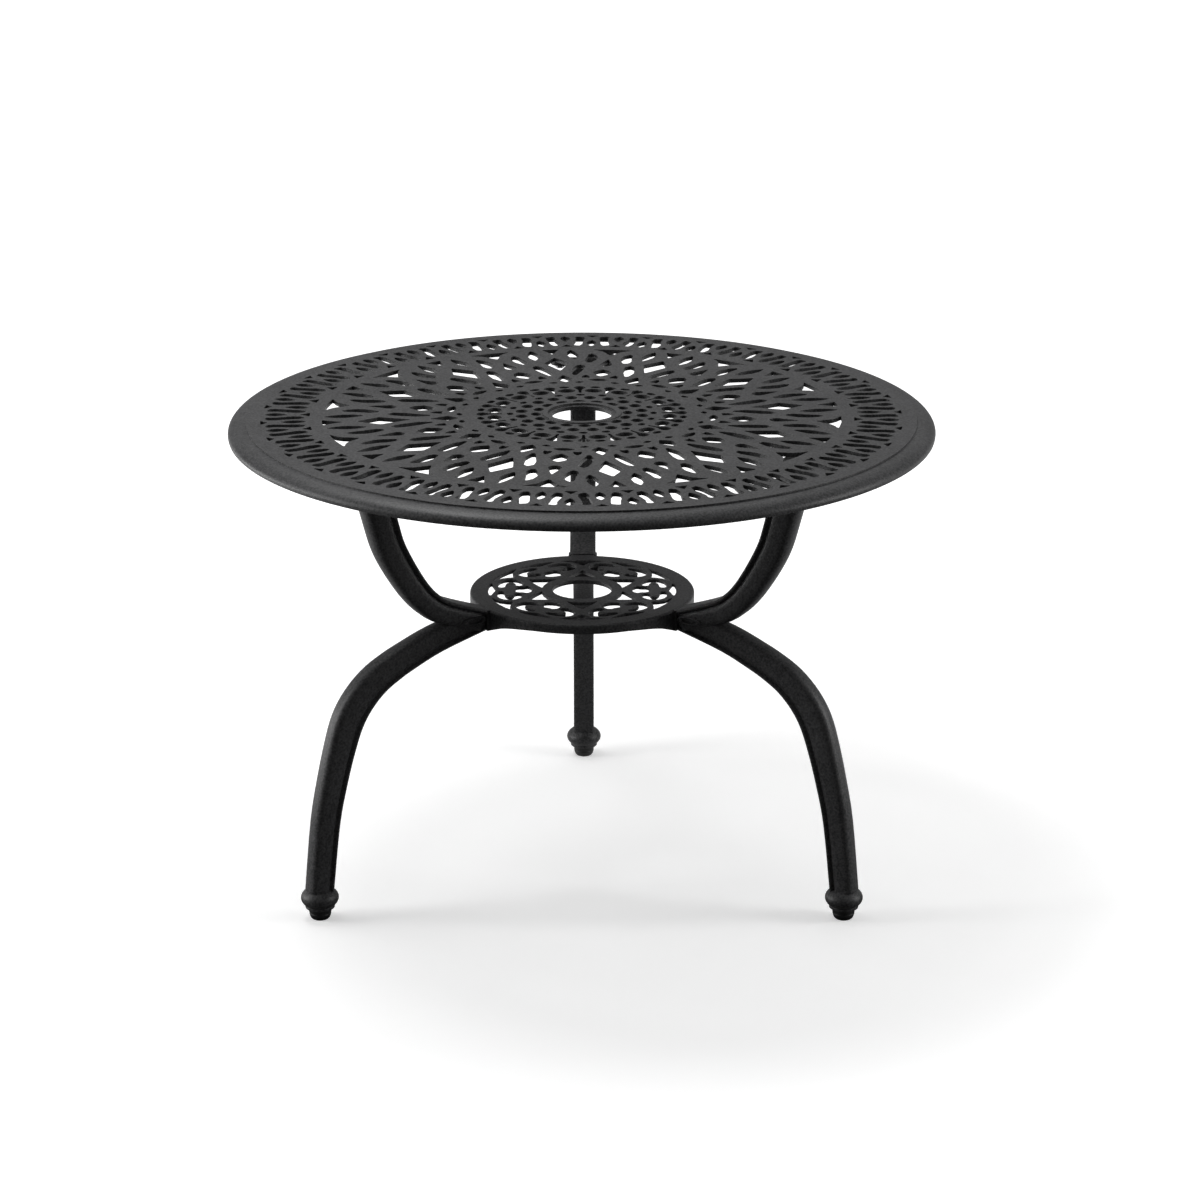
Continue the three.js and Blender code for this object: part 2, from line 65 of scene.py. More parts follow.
# Share of a side that the rounding of one corner may take
LONGEST_ROUNDING = 0.46
ROUNDING_STEPS = 2

Point = tuple[float, float]
Outline = list[Point]
Span = tuple[Point, Point]
Colour = tuple[float, float, float, float]
Place = tuple[float, float, float]
Object = bpy.types.Object
Material = bpy.types.Material


# Modelling helpers


def deselect() -> None:
    """Leaves edit mode and deselects every object."""
    active = bpy.context.object
    if active is not None and active.mode != "OBJECT":
        bpy.ops.object.mode_set(mode="OBJECT")
    bpy.ops.object.select_all(action="DESELECT")


def select_only(*objects: Object) -> Object:
    """Selects only these objects and makes the first one active.

    Args:
        objects: The objects to select.

    Returns:
        The first object.
    """
    deselect()
    for obj in objects:
        obj.select_set(True)
    bpy.context.view_layer.objects.active = objects[0]
    return objects[0]


@contextmanager
def editing(obj: Object) -> Iterator[Object]:
    """Edit mode on one object, with all of its mesh selected at the start.

    Args:
        obj: The object to edit.

    Yields:
        The same object.
    """
    select_only(obj)
    bpy.ops.object.mode_set(mode="EDIT")
    bpy.ops.mesh.select_all(action="SELECT")
    yield obj
    bpy.ops.object.mode_set(mode="OBJECT")


def pick_faces(obj: Object, test: Callable[[Vector], bool]) -> None:
    """Selects the faces whose normal passes a test, in edit mode.

    Args:
        obj: The object in edit mode.
        test: Takes a face's normal.
    """
    bpy.ops.mesh.select_mode(type="FACE")
    bpy.ops.mesh.select_all(action="DESELECT")
    mesh = bmesh.from_edit_mesh(obj.data)
    for face in mesh.faces:
        face.select = test(face.normal)
    mesh.select_flush(True)
    bmesh.update_edit_mesh(obj.data)


def apply_modifier(obj: Object, kind: str, **settings: object) -> Object:
    """Adds a modifier, sets it and applies it.

    Args:
        obj: The object to change.
        kind: The modifier's type.
        settings: The modifier's settings by name.

    Returns:
        The same object.
    """
    select_only(obj)
    modifier = obj.modifiers.new(kind.lower(), kind)
    for name, value in settings.items():
        setattr(modifier, name, value)
    bpy.ops.object.modifier_apply(modifier=modifier.name)
    return obj


def join(name: str, parts: Sequence[Object]) -> Object:
    """Joins objects into one, renamed.

    Args:
        name: The new name.
        parts: The objects.

    Returns:
        The joined object.
    """
    whole = select_only(*parts)
    if len(parts) > 1:
        bpy.ops.object.join()
    whole.name = whole.data.name = name
    return whole


def combine(base: Object, other: Object, operation: str) -> None:
    """Adds or takes away a second object, which is used up."""
    apply_modifier(base, "BOOLEAN", operation=operation, solver="EXACT", object=other)
    bpy.data.objects.remove(other, do_unlink=True)


def fuse(base: Object, others: Sequence[Object]) -> Object:
    """Unites closed shells with the first one, so that no wall is left inside.

    Args:
        base: The first shell.
        others: Shells that are used up.

    Returns:
        The united shell.
    """
    for other in others:
        combine(base, other, "UNION")
    return base


def copied(obj: Object, name: str, place: Matrix) -> Object:
    """Copies an object with a mesh of its own, with its place in the mesh.

    Args:
        obj: The object to copy.
        name: The copy's name.
        place: The copy's place relative to the original.

    Returns:
        The copy, at the origin.
    """
    twin = obj.copy()
    twin.data = obj.data.copy()
    twin.name = twin.data.name = name
    bpy.context.collection.objects.link(twin)
    twin.data.transform(place)
    return twin


def turned_place(degrees: float) -> Matrix:
    """The place of something turned about the table's axis."""
    return Matrix.Rotation(math.radians(degrees), 4, "Z")


def smooth(obj: Object, degrees: float = 32) -> Object:
    """Shades an object smooth across edges flatter than an angle, its flat faces kept flat.

    Args:
        obj: The object.
        degrees: The angle.

    Returns:
        The same object.
    """
    select_only(obj)
    bpy.ops.object.shade_smooth_by_angle(angle=math.radians(degrees))
    return apply_modifier(obj, "WEIGHTED_NORMAL", keep_sharp=True, weight=50)


def filleted(corners: Sequence[Point], radius: float, steps: int = 3) -> Outline:
    """Rounds the corners of a closed outline.

    Args:
        corners: The outline's corners.
        radius: How far from a corner its rounding starts, where the sides are long enough.
        steps: Number of chords in each rounding.

    Returns:
        The rounded outline.
    """
    rounded: Outline = []
    for i, (x, y) in enumerate(corners):
        here = Vector((x, y))
        ends = []
        for near in (corners[i - 1], corners[(i + 1) % len(corners)]):
            side = Vector(near) - here
            ends.append(here + side.normalized() * min(radius, LONGEST_ROUNDING * side.length))
        for step in range(steps + 1):
            t = step / steps
            spot = (1 - t) ** 2 * ends[0] + 2 * t * (1 - t) * here + t * t * ends[1]
            rounded.append((spot.x, spot.y))
    return rounded


def arc(centre: Point, across: float, up: float, first: float, last: float, steps: int) -> Outline:
    """Points of an arc of a circle or an oval.

    Args:
        centre: Centre of the oval.
        across: Half its width.
        up: Half its height.
        first: Direction of the first point, in degrees.
        last: Direction of the last point.
        steps: Number of chords.

    Returns:
        The points, one more than the chords.
    """
    x, y = centre
    turns = (math.radians(first + (last - first) * step / steps) for step in range(steps + 1))
    return [(x + across * math.cos(turn), y + up * math.sin(turn)) for turn in turns]


def circle(radius: float, count: int, x: float = 0, y: float = 0) -> Outline:
    """Points round a circle."""
    return arc((x, y), radius, radius, 0, 360, count)[:-1]


def whole(half: Sequence[Point]) -> Outline:
    """The outline that has this half on one side of the first axis."""
    return [*half, *((x, -y) for x, y in reversed(half) if y)]


def turn_point(point: Point, degrees: float) -> Point:
    """A point turned about the table's axis.

    Args:
        point: The point.
        degrees: The turn.

    Returns:
        The turned point.
    """
    angle = math.radians(degrees)
    x, y = point
    return x * math.cos(angle) - y * math.sin(angle), x * math.sin(angle) + y * math.cos(angle)


def cast_plate(
    outline: Outline,
    holes: Sequence[Outline],
    low: float,
    high: float,
    edge: float,
    steps: int = 2,
    draft: float = 0,
) -> Object:
    """A flat plate with openings and rounded edges, drawn as a filled curve and made a mesh.

    The curve is drawn in millimetres, because the fill of a curve drawn in metres merges small
    details.

    Args:
        outline: The plate's outline.
        holes: Outlines of its openings.
        low: Height of the underside.
        high: Height of the top.
        edge: Radius of the rounded edges.
        steps: Rings of faces in each rounded edge.
        draft: What every outline gives up, so that the holes come out larger.

    Returns:
        The plate.
    """
    deselect()
    curve = bpy.data.curves.new("plate", "CURVE")
    curve.dimensions = "2D"
    curve.fill_mode = "BOTH"
    for points in (outline, *holes):
        spline = curve.splines.new("POLY")
        spline.points.add(len(points) - 1)
        for point, (x, y) in zip(spline.points, points):
            point.co = (x / MM, y / MM, 0, 1)
        spline.use_cyclic_u = True
    curve.extrude = ((high - low) / 2 - edge) / MM
    curve.bevel_depth = edge / MM
    curve.bevel_resolution = steps
    curve.offset = -(edge + draft) / MM
    plate = bpy.data.objects.new("plate", curve)
    bpy.context.collection.objects.link(plate)
    select_only(plate)
    bpy.ops.object.convert(target="MESH")
    plate = bpy.context.object
    with editing(plate):
        bpy.ops.mesh.remove_doubles(threshold=CURVE_WELD)
        bpy.ops.transform.resize(value=(MM, MM, MM), center_override=(0, 0, 0))
        bpy.ops.transform.translate(value=(0, 0, (low + high) / 2))
    return plate


def spun(profile: Sequence[Point], steps: int) -> Object:
    """A closed profile of (radius, height) corners spun about the Z axis.

    Args:
        profile: The corners. Where it starts and ends on the axis, it is left open there.
        steps: Number of steps round the axis.

    Returns:
        The spun shell.
    """
    deselect()
    bpy.ops.mesh.primitive_circle_add(vertices=len(profile), radius=1)
    shell = bpy.context.object
    for vertex, (radius, height) in zip(shell.data.vertices, profile):
        vertex.co = (radius, 0, height)
    with editing(shell):
        bpy.ops.mesh.spin(steps=steps, angle=2 * math.pi, center=(0, 0, 0), axis=(0, 0, 1))
        bpy.ops.mesh.select_all(action="SELECT")
        bpy.ops.mesh.remove_doubles(threshold=WELD)
        bpy.ops.mesh.dissolve_degenerate(threshold=WELD / 2)
        bpy.ops.mesh.select_all(action="SELECT")
        bpy.ops.mesh.delete_loose()
        bpy.ops.mesh.select_all(action="SELECT")
        bpy.ops.mesh.normals_make_consistent(inside=False)
    return shell


def swept(sections: Sequence[Sequence[Vector]]) -> Object:
    """A closed bar: one flat section, extruded once for each further section.

    Args:
        sections: Corners of each section, all of the same count.

    Returns:
        The bar.
    """
    deselect()
    bpy.ops.mesh.primitive_circle_add(vertices=len(sections[0]), fill_type="NGON")
    bar = bpy.context.object
    with editing(bar):
        bpy.ops.mesh.select_mode(type="FACE")
        bpy.ops.mesh.select_all(action="SELECT")
        for number, section in enumerate(sections):
            if number:
                bpy.ops.mesh.extrude_region_move()
            mesh = bmesh.from_edit_mesh(bar.data)
            end = next(face for face in mesh.faces if face.select)
            for vertex, place in zip(end.verts, section):
                vertex.co = place
            bmesh.update_edit_mesh(bar.data)
        bpy.ops.mesh.select_all(action="SELECT")
        bpy.ops.mesh.normals_make_consistent(inside=False)
    return bar


def cut_away(obj: Object, at: Vector, towards: Vector) -> None:
    """Cuts off what lies beyond a plane and closes the cut.

    Args:
        obj: The object to cut.
        at: A point of the plane.
        towards: The plane's normal, on the side that goes.
    """
    with editing(obj):
        bpy.ops.mesh.bisect(plane_co=at, plane_no=towards, use_fill=True, clear_outer=True)


def along_curve(stations: Sequence[Sequence[float]], between: int) -> list[list[float]]:
    """Stations of a smooth curve through given ones.

    Args:
        stations: Rows of numbers, one row a station.
        between: Steps from one given station to the next.

    Returns:
        The rows of the smooth curve.
    """
    rows: list[list[float]] = []
    last = len(stations) - 1
    for i in range(last):
        a, b, c, d = (stations[min(max(k, 0), last)] for k in (i - 1, i, i + 1, i + 2))
        for step in range(between):
            t = step / between
            row = []
            for p, q, r, s in zip(a, b, c, d):
                square, cube = 2 * p - 5 * q + 4 * r - s, 3 * q - p - 3 * r + s
                row.append(0.5 * (2 * q + (r - p) * t + square * t**2 + cube * t**3))
            rows.append(row)
    rows.append(list(stations[last]))
    return rows


def threaded(
    low: float, high: float, radius: float, tip: float, pitch: float, depth: float, steps: int
) -> Object:
    """A threaded rod as a row of ridges, with a chamfered end.

    Args:
        low: Height of its start.
        high: Height of its end.
        radius: Radius of the ridges.
        tip: Radius of its end.
        pitch: Height of one ridge.
        depth: Depth of the thread.
        steps: Number of steps round the axis.

    Returns:
        The rod.
    """
    profile = [(0.0, low), (radius - depth, low)]
    height = low
    while height + 2 * pitch < high:
        profile.append((radius, height + pitch / 2))
        height += pitch
        profile.append((radius - depth, height))
    profile += [(tip, high), (0.0, high)]
    return spun(profile, steps)


# Finishes


def grey(level: float, blue: float = 1) -> Colour:
    """A grey whose blue is changed by a factor."""
    return level, level, level * blue, 1


class Socket:
    """A shader value: arithmetic on it adds Math nodes to its tree."""

    def __init__(self, shader: "Shader", output: bpy.types.NodeSocket) -> None:
        """Wraps one output of a node."""
        self.shader = shader
        self.output = output

    def _with(self, operation: str, first: object, second: object) -> "Socket":
        """The result of a Math node on two values."""
        return self.shader.node("Math", {"operation": operation}, {0: first, 1: second})

    def __add__(self, other: "Value") -> "Socket":
        """The sum."""
        return self._with("ADD", self, other)

    __radd__ = __add__

    def __mul__(self, other: "Value") -> "Socket":
        """The product."""
        return self._with("MULTIPLY", self, other)

    __rmul__ = __mul__


Value = Union[float, Socket]


class Shader:
    """A material's node tree, with a short way to add nodes to it."""

    def __init__(self, name: str, tree: Optional[bpy.types.NodeTree] = None) -> None:
        """Starts a material of this name, or takes over a tree, and clears its nodes.

        Args:
            name: Name of the new material.
            tree: The tree to take over, for which no material is made.
        """
        if tree is None:
            self.material = bpy.data.materials.new(name)
            self.material.use_nodes = True
            tree = self.material.node_tree
        self.tree = tree
        self.tree.nodes.clear()

    def node(self, kind: str, settings: dict, inputs: dict, output: object = 0) -> Socket:
        """Adds one node.

        Args:
            kind: The node's type, without the word ShaderNode that it starts with.
            settings: Its settings by name, set before its sockets. A ramp's two stops go under
                "stops".
            inputs: Values or sockets by the input's name or number.
            output: Name or number of the output to return.

        Returns:
            The chosen output.
        """
        made = self.tree.nodes.new("ShaderNode" + kind)
        stops = settings.pop("stops", ())
        for name, value in settings.items():
            setattr(made, name, value)
        if stops:
            for element, (position, level) in zip(made.color_ramp.elements, stops):
                element.position = position
                element.color = grey(level)
        for key, value in inputs.items():
            socket = made.inputs[key]
            if isinstance(value, Socket):
                self.tree.links.new(value.output, socket)
            else:
                socket.default_value = value
        return Socket(self, made.outputs[output])

    def place(self) -> Socket:
        """Object coordinates."""
        return self.node("TexCoord", {}, {}, "Object")

    def noise(self, scale: float, detail: float = 3, roughness: float = 0.5) -> Socket:
        """Noise over the object, its scale in cycles a metre."""
        inputs = {"Vector": self.place(), "Scale": scale, "Detail": detail, "Roughness": roughness}
        return self.node("TexNoise", {}, inputs, "Fac")

    def ramp(self, value: Socket, low: float, high: float) -> Socket:
        """Black up to the first value, white from the second one and greys between."""
        return self.node("ValToRGB", {"stops": ((low, 0), (high, 1))}, {"Fac": value})

    def spread(self, value: Socket, span: Span) -> Socket:
        """A value carried from one range to another.

        Args:
            value: The value.
            span: The range that it comes from and the one that it goes to.

        Returns:
            The value in the second range.
        """
        (low, high), (least, most) = span
        source, target = {"From Min": low, "From Max": high}, {"To Min": least, "To Max": most}
        return self.node("MapRange", {}, {"Value": value, **source, **target})

    def axis(self, vector: Socket, number: int) -> Socket:
        """One part of a vector: X, Y or Z by its number."""
        return self.node("SeparateXYZ", {}, {"Vector": vector}, number)

    def rays(self, *names: str) -> list[Socket]:
        """Outputs of a Light Path node."""
        path = self.tree.nodes.new("ShaderNodeLightPath")
        return [Socket(self, path.outputs[name]) for name in names]

    def mix(self, factor: Value, first: Colour, second: Colour) -> Socket:
        """A mix of two colours."""
        return self.node("Mix", {"data_type": "RGBA"}, {0: factor, 6: first, 7: second}, 2)

    def bump(self, height: Socket, distance: float, strength: float = 1) -> Socket:
        """A normal bent by a height."""
        inputs = {"Height": height, "Distance": distance, "Strength": strength}
        return self.node("Bump", {}, inputs)

    def finish(self, inputs: dict) -> Material:
        """Ends the tree in a Principled shader with these inputs."""
        self.end(self.node("BsdfPrincipled", {}, inputs))
        return self.material

    def end(self, surface: Socket, kind: str = "ShaderNodeOutputMaterial") -> None:
        """Links a surface to a new output node."""
        end = self.tree.nodes.new(kind)
        self.tree.links.new(surface.output, end.inputs["Surface"])


@dataclass(frozen=True)
class PowderCoat:
    """Fine textured semi-matt powder coat on a sand casting."""

    dark: Colour = grey(0.014, 1.06)
    light: Colour = grey(0.068, 1.03)
    roughness: float = 0.4
    lump_gloss: float = 0.08
    grain_gloss: float = 0.06
    specular: float = 0.35
    grain_scale: float = 300.0
    lump_scale: float = 55.0
    drift_scale: float = 5.0
    grain_share: float = 0.65
    lump_share: float = 0.15
    drift_share: float = 0.2
    tone_range: Point = (0.37, 0.63)
    relief: float = 0.8 * MM
    relief_strength: float = 0.7

    def material(self) -> Material:
        """Builds the finish.

        Returns:
            The material.
        """
        shader = Shader("cast_paint_finish")
        grain = shader.noise(self.grain_scale, 2)
        lumps = shader.noise(self.lump_scale, 4)
        drift = shader.noise(self.drift_scale, 3)
        tone = drift * self.drift_share + grain * self.grain_share + lumps * self.lump_share
        return shader.finish(
            {
                "Base Color": shader.mix(shader.ramp(tone, *self.tone_range), self.dark, self.light),
                "Roughness": self.roughness + lumps * self.lump_gloss + grain * self.grain_gloss,
                "Specular IOR Level": self.specular,
                "Normal": shader.bump(lumps * 0.5 + grain * 0.5, self.relief, self.relief_strength),
            }
        )


@dataclass(frozen=True)
class ZincPlate:
    """Dull zinc plate on a steel screw."""

    dull: Colour = grey(0.224, 1.02857)
    bright: Colour = grey(0.32, 1.03)
    metallic: float = 0.9
    roughness: float = 0.36
    stain_roughness: float = 0.2
    spangle_scale: float = 700.0
    stain_scale: float = 120.0
    tone_range: Point = (0.35, 0.65)
    relief: float = 0.05 * MM
    relief_strength: float = 0.4

    def material(self) -> Material:
        """Builds the finish.

        Returns:
            The material.
        """
        shader = Shader("zinc_steel_finish")
        spangle = shader.noise(self.spangle_scale, 3)
        stain = shader.noise(self.stain_scale, 4, 0.6)
        tone = shader.ramp(spangle * 0.5 + stain * 0.5, *self.tone_range)
        return shader.finish(
            {
                "Base Color": shader.mix(tone, self.dull, self.bright),
                "Metallic": self.metallic,
                "Roughness": self.roughness + stain * self.stain_roughness,
                "Normal": shader.bump(spangle, self.relief, self.relief_strength),
            }
        )


@dataclass(frozen=True)
class MouldedPlastic:
    """Black moulded plastic of a glide."""

    fresh: Colour = grey(0.009)
    scuffed: Colour = grey(0.0198, 0.95455)
    roughness: float = 0.42
    scuff_roughness: float = 0.2
    specular: float = 0.4
    grain_scale: float = 1200.0
    scuff_scale: float = 90.0
    scuff_range: Point = (0.5, 0.75)
    relief: float = 0.08 * MM
    relief_strength: float = 0.5

    def material(self) -> Material:
        """Builds the finish.

        Returns:
            The material.
        """
        shader = Shader("glide_plastic_finish")
        grain = shader.noise(self.grain_scale, 2)
        scuff = shader.noise(self.scuff_scale, 5, 0.65)
        worn = shader.ramp(scuff, *self.scuff_range)
        return shader.finish(
            {
                "Base Color": shader.mix(worn, self.fresh, self.scuffed),
                "Roughness": self.roughness + worn * self.scuff_roughness,
                "Specular IOR Level": self.specular,
                "Normal": shader.bump(grain * 0.5 + scuff * 0.5, self.relief, self.relief_strength),
            }
        )


class Finish(Enum):
    """The record's material slots and the finish of each."""

    CAST_PAINT = ("cast_paint", PowderCoat())
    ZINC_STEEL = ("zinc_steel", ZincPlate())
    GLIDE_PLASTIC = ("glide_plastic", MouldedPlastic())

    @property
    def slot(self) -> str:
        """Name of the record's slot."""
        return self.value[0]

    def material(self) -> Material:
        """The finish's material, made once."""
        return bpy.data.materials.get(f"{self.slot}_finish") or self.value[1].material()


def settle(
    piece: Object, name: str, finish: Finish, body: str, stands_for: Sequence[str]
) -> Object:
    """Names, dresses and hands over one finished piece.

    Args:
        piece: The finished object.
        name: Its name.
        finish: Its finish.
        body: The body that it rides on.
        stands_for: The CAD nodes that it stands for.

    Returns:
        The piece.
    """
    piece.name = piece.data.name = name
    piece.data.materials.clear()
    piece.data.materials.append(finish.material())
    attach(piece, body)
    if stands_for:
        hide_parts(*stands_for)
    log.info("%s: %d faces on %s", name, len(piece.data.polygons), body)
    return piece


# Patterns


@dataclass(frozen=True)
class Opening:
    """One opening of a repeated pattern.

    Its corners are shares of the way across its ring and degrees from an axis. An opening that
    starts on the axis is drawn by half. Any other has a mirror image across the axis.
    """

    corners: Sequence[Point]
    on_mid: bool = False
    rounding: float = 2.2 * MM

    def outlines(self) -> list[Outline]:
        """The whole opening, or the two of a pair.

        Returns:
            One outline or two.
        """
        if self.corners[0][1] == 0:
            return [whole(self.corners)]
        return [list(self.corners), [(share, -side) for share, side in self.corners]]


@dataclass(frozen=True)
class Ring:
    """A ring of the pattern: openings repeated round the table."""

    inner: float
    outer: float
    units: int
    first_axis: float
    openings: Sequence[Opening]

    def holes(self) -> list[Outline]:
        """Every opening of the ring, its corners rounded.

        Returns:
            Their outlines.
        """
        pitch = 360 / self.units
        made = []
        for unit in range(self.units):
            for opening in self.openings:
                axis = self.first_axis + pitch * (unit + (0.5 if opening.on_mid else 0))
                for corners in opening.outlines():
                    points = []
                    for share, degrees in corners:
                        radius = self.inner + share * (self.outer - self.inner)
                        points.append(turn_point((radius, 0), axis + degrees))
                    made.append(filleted(points, opening.rounding, ROUNDING_STEPS))
        return made


@dataclass(frozen=True)
class RoundHole:
    """A round or oval hole of the net: its place and half sizes, in shares of the net's width."""

    ring: float
    half: float
    across: float
    on_mid: bool = False

    def outline(self, inner: float, outer: float, axis: float, corners: int = 14) -> Outline:
        """The hole's outline on one axis.

        Args:
            inner: Inner radius of the net.
            outer: Outer radius of the net.
            axis: Direction of the axis, in degrees.
            corners: Number of corners.

        Returns:
            The outline.
        """
        width = outer - inner
        centre = (inner + width * self.ring, 0)
        points = arc(centre, width * self.across, width * self.half, 0, 360, corners)[:-1]
        return [turn_point(point, axis) for point in points]


# The top


@dataclass
class TableTop:
    """The pierced top casting with its rim, collar and screw bosses."""

    height: float
    radius: float = 535 * MM
    thickness: float = 5 * MM
    ring_thickness: float = 7 * MM
    cast_thickness: float = 6.6 * MM
    draft: float = 1 * MM
    edge: float = 0.3 * MM
    bullnose_width: float = 28 * MM
    rim_ring_width: float = 25 * MM
    band_width: float = 69 * MM
    leg_ring_width: float = 19 * MM
    net_radius: float = 175 * MM
    crease_depth: float = 2.4 * MM
    crease_width: float = 2 * MM
    crease_foot: float = 0.4 * MM
    bullnose_drop: float = 17.5 * MM
    crest_drop: float = 2.9 * MM
    skirt_depth: float = 22 * MM
    skirt_wall: float = 6 * MM
    hole_radius: float = 45.5 * MM
    seat_width: float = 6 * MM
    lip_width: float = 8.5 * MM
    collar_rise: float = 2.3 * MM
    seat_depth: float = 3.6 * MM
    collar_drop: float = 0.6 * MM
    collar_foot: float = 64 * MM
    boss_radius: float = 12 * MM
    boss_height: float = 14 * MM
    pad_spacing: float = 76 * MM
    nose_inset: float = 0.05 * MM
    nose_steps: int = 14
    skirt_slope: float = 0.5 * MM
    collar_skin: float = 2.5 * MM
    collar_edge: float = 0.9 * MM
    collar_steps: int = 120
    bore_steps: int = 96
    boss_edge: float = 1.2 * MM
    screw_hole: float = 4.3 * MM
    screw_cover: float = 2.3 * MM
    field_units: int = 12
    field_axis: float = -7.2
    band_units: int = 33
    band_axis: float = 0.95
    net_units: int = 20
    net_axis: float = 10.5
    hub_holes: int = 16
    hub_axis: float = 3.7
    round_steps: int = 180

    @property
    def ring_radii(self) -> tuple[float, float, float, float]:
        """Outer radii of the rim ring, the band, the leg ring and the field.

        Returns:
            The four radii.
        """
        rim = self.radius - self.bullnose_width
        band = rim - self.rim_ring_width
        leg = band - self.band_width
        return rim, band, leg, leg - self.leg_ring_width

    @property
    def pad_radius(self) -> float:
        """Radius of the screws that hold the legs."""
        return self.ring_radii[3] + self.leg_ring_width / 2

    def field(self) -> Ring:
        """Openings between the net and the ring that carries the legs.

        Returns:
            The ring of openings.
        """
        openings = (
            Opening([(0.993, 0), (0.99, 4.6), (0.965, 3.2), (0.93, 1.9), (0.87, 0.9), (0.828, 0)]),
            Opening([(0.7, 0), (0.62, 0.95), (0.55, 1.8), (0.52, 1.3), (0.505, 0)]),
            Opening([(0.411, 0), (0.385, 1.7), (0.325, 3.3), (0.262, 2), (0.224, 0)]),
            Opening([(0.144, 0), (0.136, 2.4), (0.112, 4.6), (0.095, 2.4), (0.087, 0)]),
            Opening([(0.993, 0), (0.993, 1.9), (0.94, 1), (0.862, 0)], on_mid=True),
            Opening([(0.754, 0), (0.605, 3.55), (0.395, 0)], on_mid=True),
            Opening([(0.25, 0), (0.2, 1.4), (0.132, 3.3), (0.098, 1.9), (0.062, 0)], on_mid=True),
            Opening(
                [
                    (0.87, 5), (0.83, 3.9), (0.76, 3.3), (0.69, 3.6), (0.61, 5), (0.62, 6.2),
                    (0.67, 6.6), (0.76, 5.9), (0.84, 5.7),
                ],
            ),
            Opening(
                [
                    (0.545, 7.9), (0.51, 6.6), (0.44, 6.8), (0.345, 8), (0.25, 9.8), (0.255, 10.7),
                    (0.345, 11.3), (0.45, 10.2), (0.52, 9.1),
                ],
            ),
            Opening([(0.252, 5.9), (0.22, 7), (0.17, 7.4), (0.18, 5.8), (0.17, 4.3), (0.22, 4.7)]),
            Opening(
                [
                    (0.98, 4.8), (0.93, 5.6), (0.85, 6.4), (0.78, 6.5), (0.71, 5.6), (0.75, 4.7),
                    (0.83, 3.8), (0.92, 4),
                ],
                on_mid=True,
            ),
            Opening(
                [(0.068, 6.3), (0.055, 8.4), (0.032, 6.8), (0.03, 5.6), (0.05, 4.2)],
                on_mid=True,
            ),
        )
        return Ring(self.net_radius, self.ring_radii[3], self.field_units, self.field_axis, openings)

    def band(self) -> Ring:
        """S-shaped slots with an eye between each two.

        Returns:
            The ring of openings.
        """
        openings = (
            Opening(
                [
                    (0.95, 2.9), (0.9, 1.7), (0.74, 1.6), (0.5, 1.95), (0.25, 2.15), (0.1, 2.7),
                    (0.15, 3.8), (0.35, 4), (0.55, 3.5), (0.75, 3.15), (0.91, 3.3),
                ],
            ),
            Opening([(0.6, 0), (0.47, 0.7), (0.33, 0.95), (0.17, 0.65), (0.06, 0)]),
            Opening([(1.04, 0), (1.035, 1.05), (0.98, 0.55), (0.905, 0)], rounding=1.2 * MM),
            Opening([(0.97, 0), (0.87, 0.7), (0.75, 0.95), (0.6, 0.6), (0.48, 0)], on_mid=True),
            Opening([(0, 0), (0, 1.2), (0.06, 0.7), (0.18, 0)], on_mid=True, rounding=1.2 * MM),
        )
        _, outer, inner, _ = self.ring_radii
        return Ring(inner, outer, self.band_units, self.band_axis, openings)

    def net(self) -> list[Outline]:
        """Rows of round holes round the collar, and the drops between them.

        Returns:
            Outlines of the holes.
        """
        rows = (
            RoundHole(0.256, 0.077, 0.074),
            RoundHole(0.63, 0.118, 0.088),
            RoundHole(0.818, 0.065, 0.04),
            RoundHole(0.405, 0.053, 0.038, on_mid=True),
        )
        drop = Opening(
            [
                (0.855, 0), (0.85, 1.6), (0.82, 2.9), (0.785, 3.1), (0.745, 2.4), (0.695, 1.2),
                (0.64, 0.6), (0.52, 0.55),
            ],
            on_mid=True,
            rounding=1.1 * MM,
        )
        hub = RoundHole(0.05, 0.078, 0.06)
        inner, outer = self.collar_foot, self.net_radius
        made = Ring(inner, outer, self.net_units, self.net_axis, (drop,)).holes()
        for unit in range(self.net_units):
            for row in rows:
                axis = self.net_axis + (unit + (0.5 if row.on_mid else 0)) * 360 / self.net_units
                made.append(row.outline(inner, outer, axis))
        for unit in range(self.hub_holes):
            made.append(hub.outline(inner, outer, self.hub_axis + unit * 360 / self.hub_holes))
        return made

    def grating(self) -> Object:
        """The pierced plate out to the crease of the rim.

        Returns:
            The plate.
        """
        collar = self.hole_radius + self.seat_width + self.lip_width
        bore = circle(collar - self.draft, self.bore_steps)
        holes = [*self.field().holes(), *self.band().holes(), *self.net(), bore]
        outline = circle(self.ring_radii[0] + self.draft, self.round_steps)
        low = self.height - self.cast_thickness
        return cast_plate(outline, holes, low, self.height, self.edge, 1, self.draft)

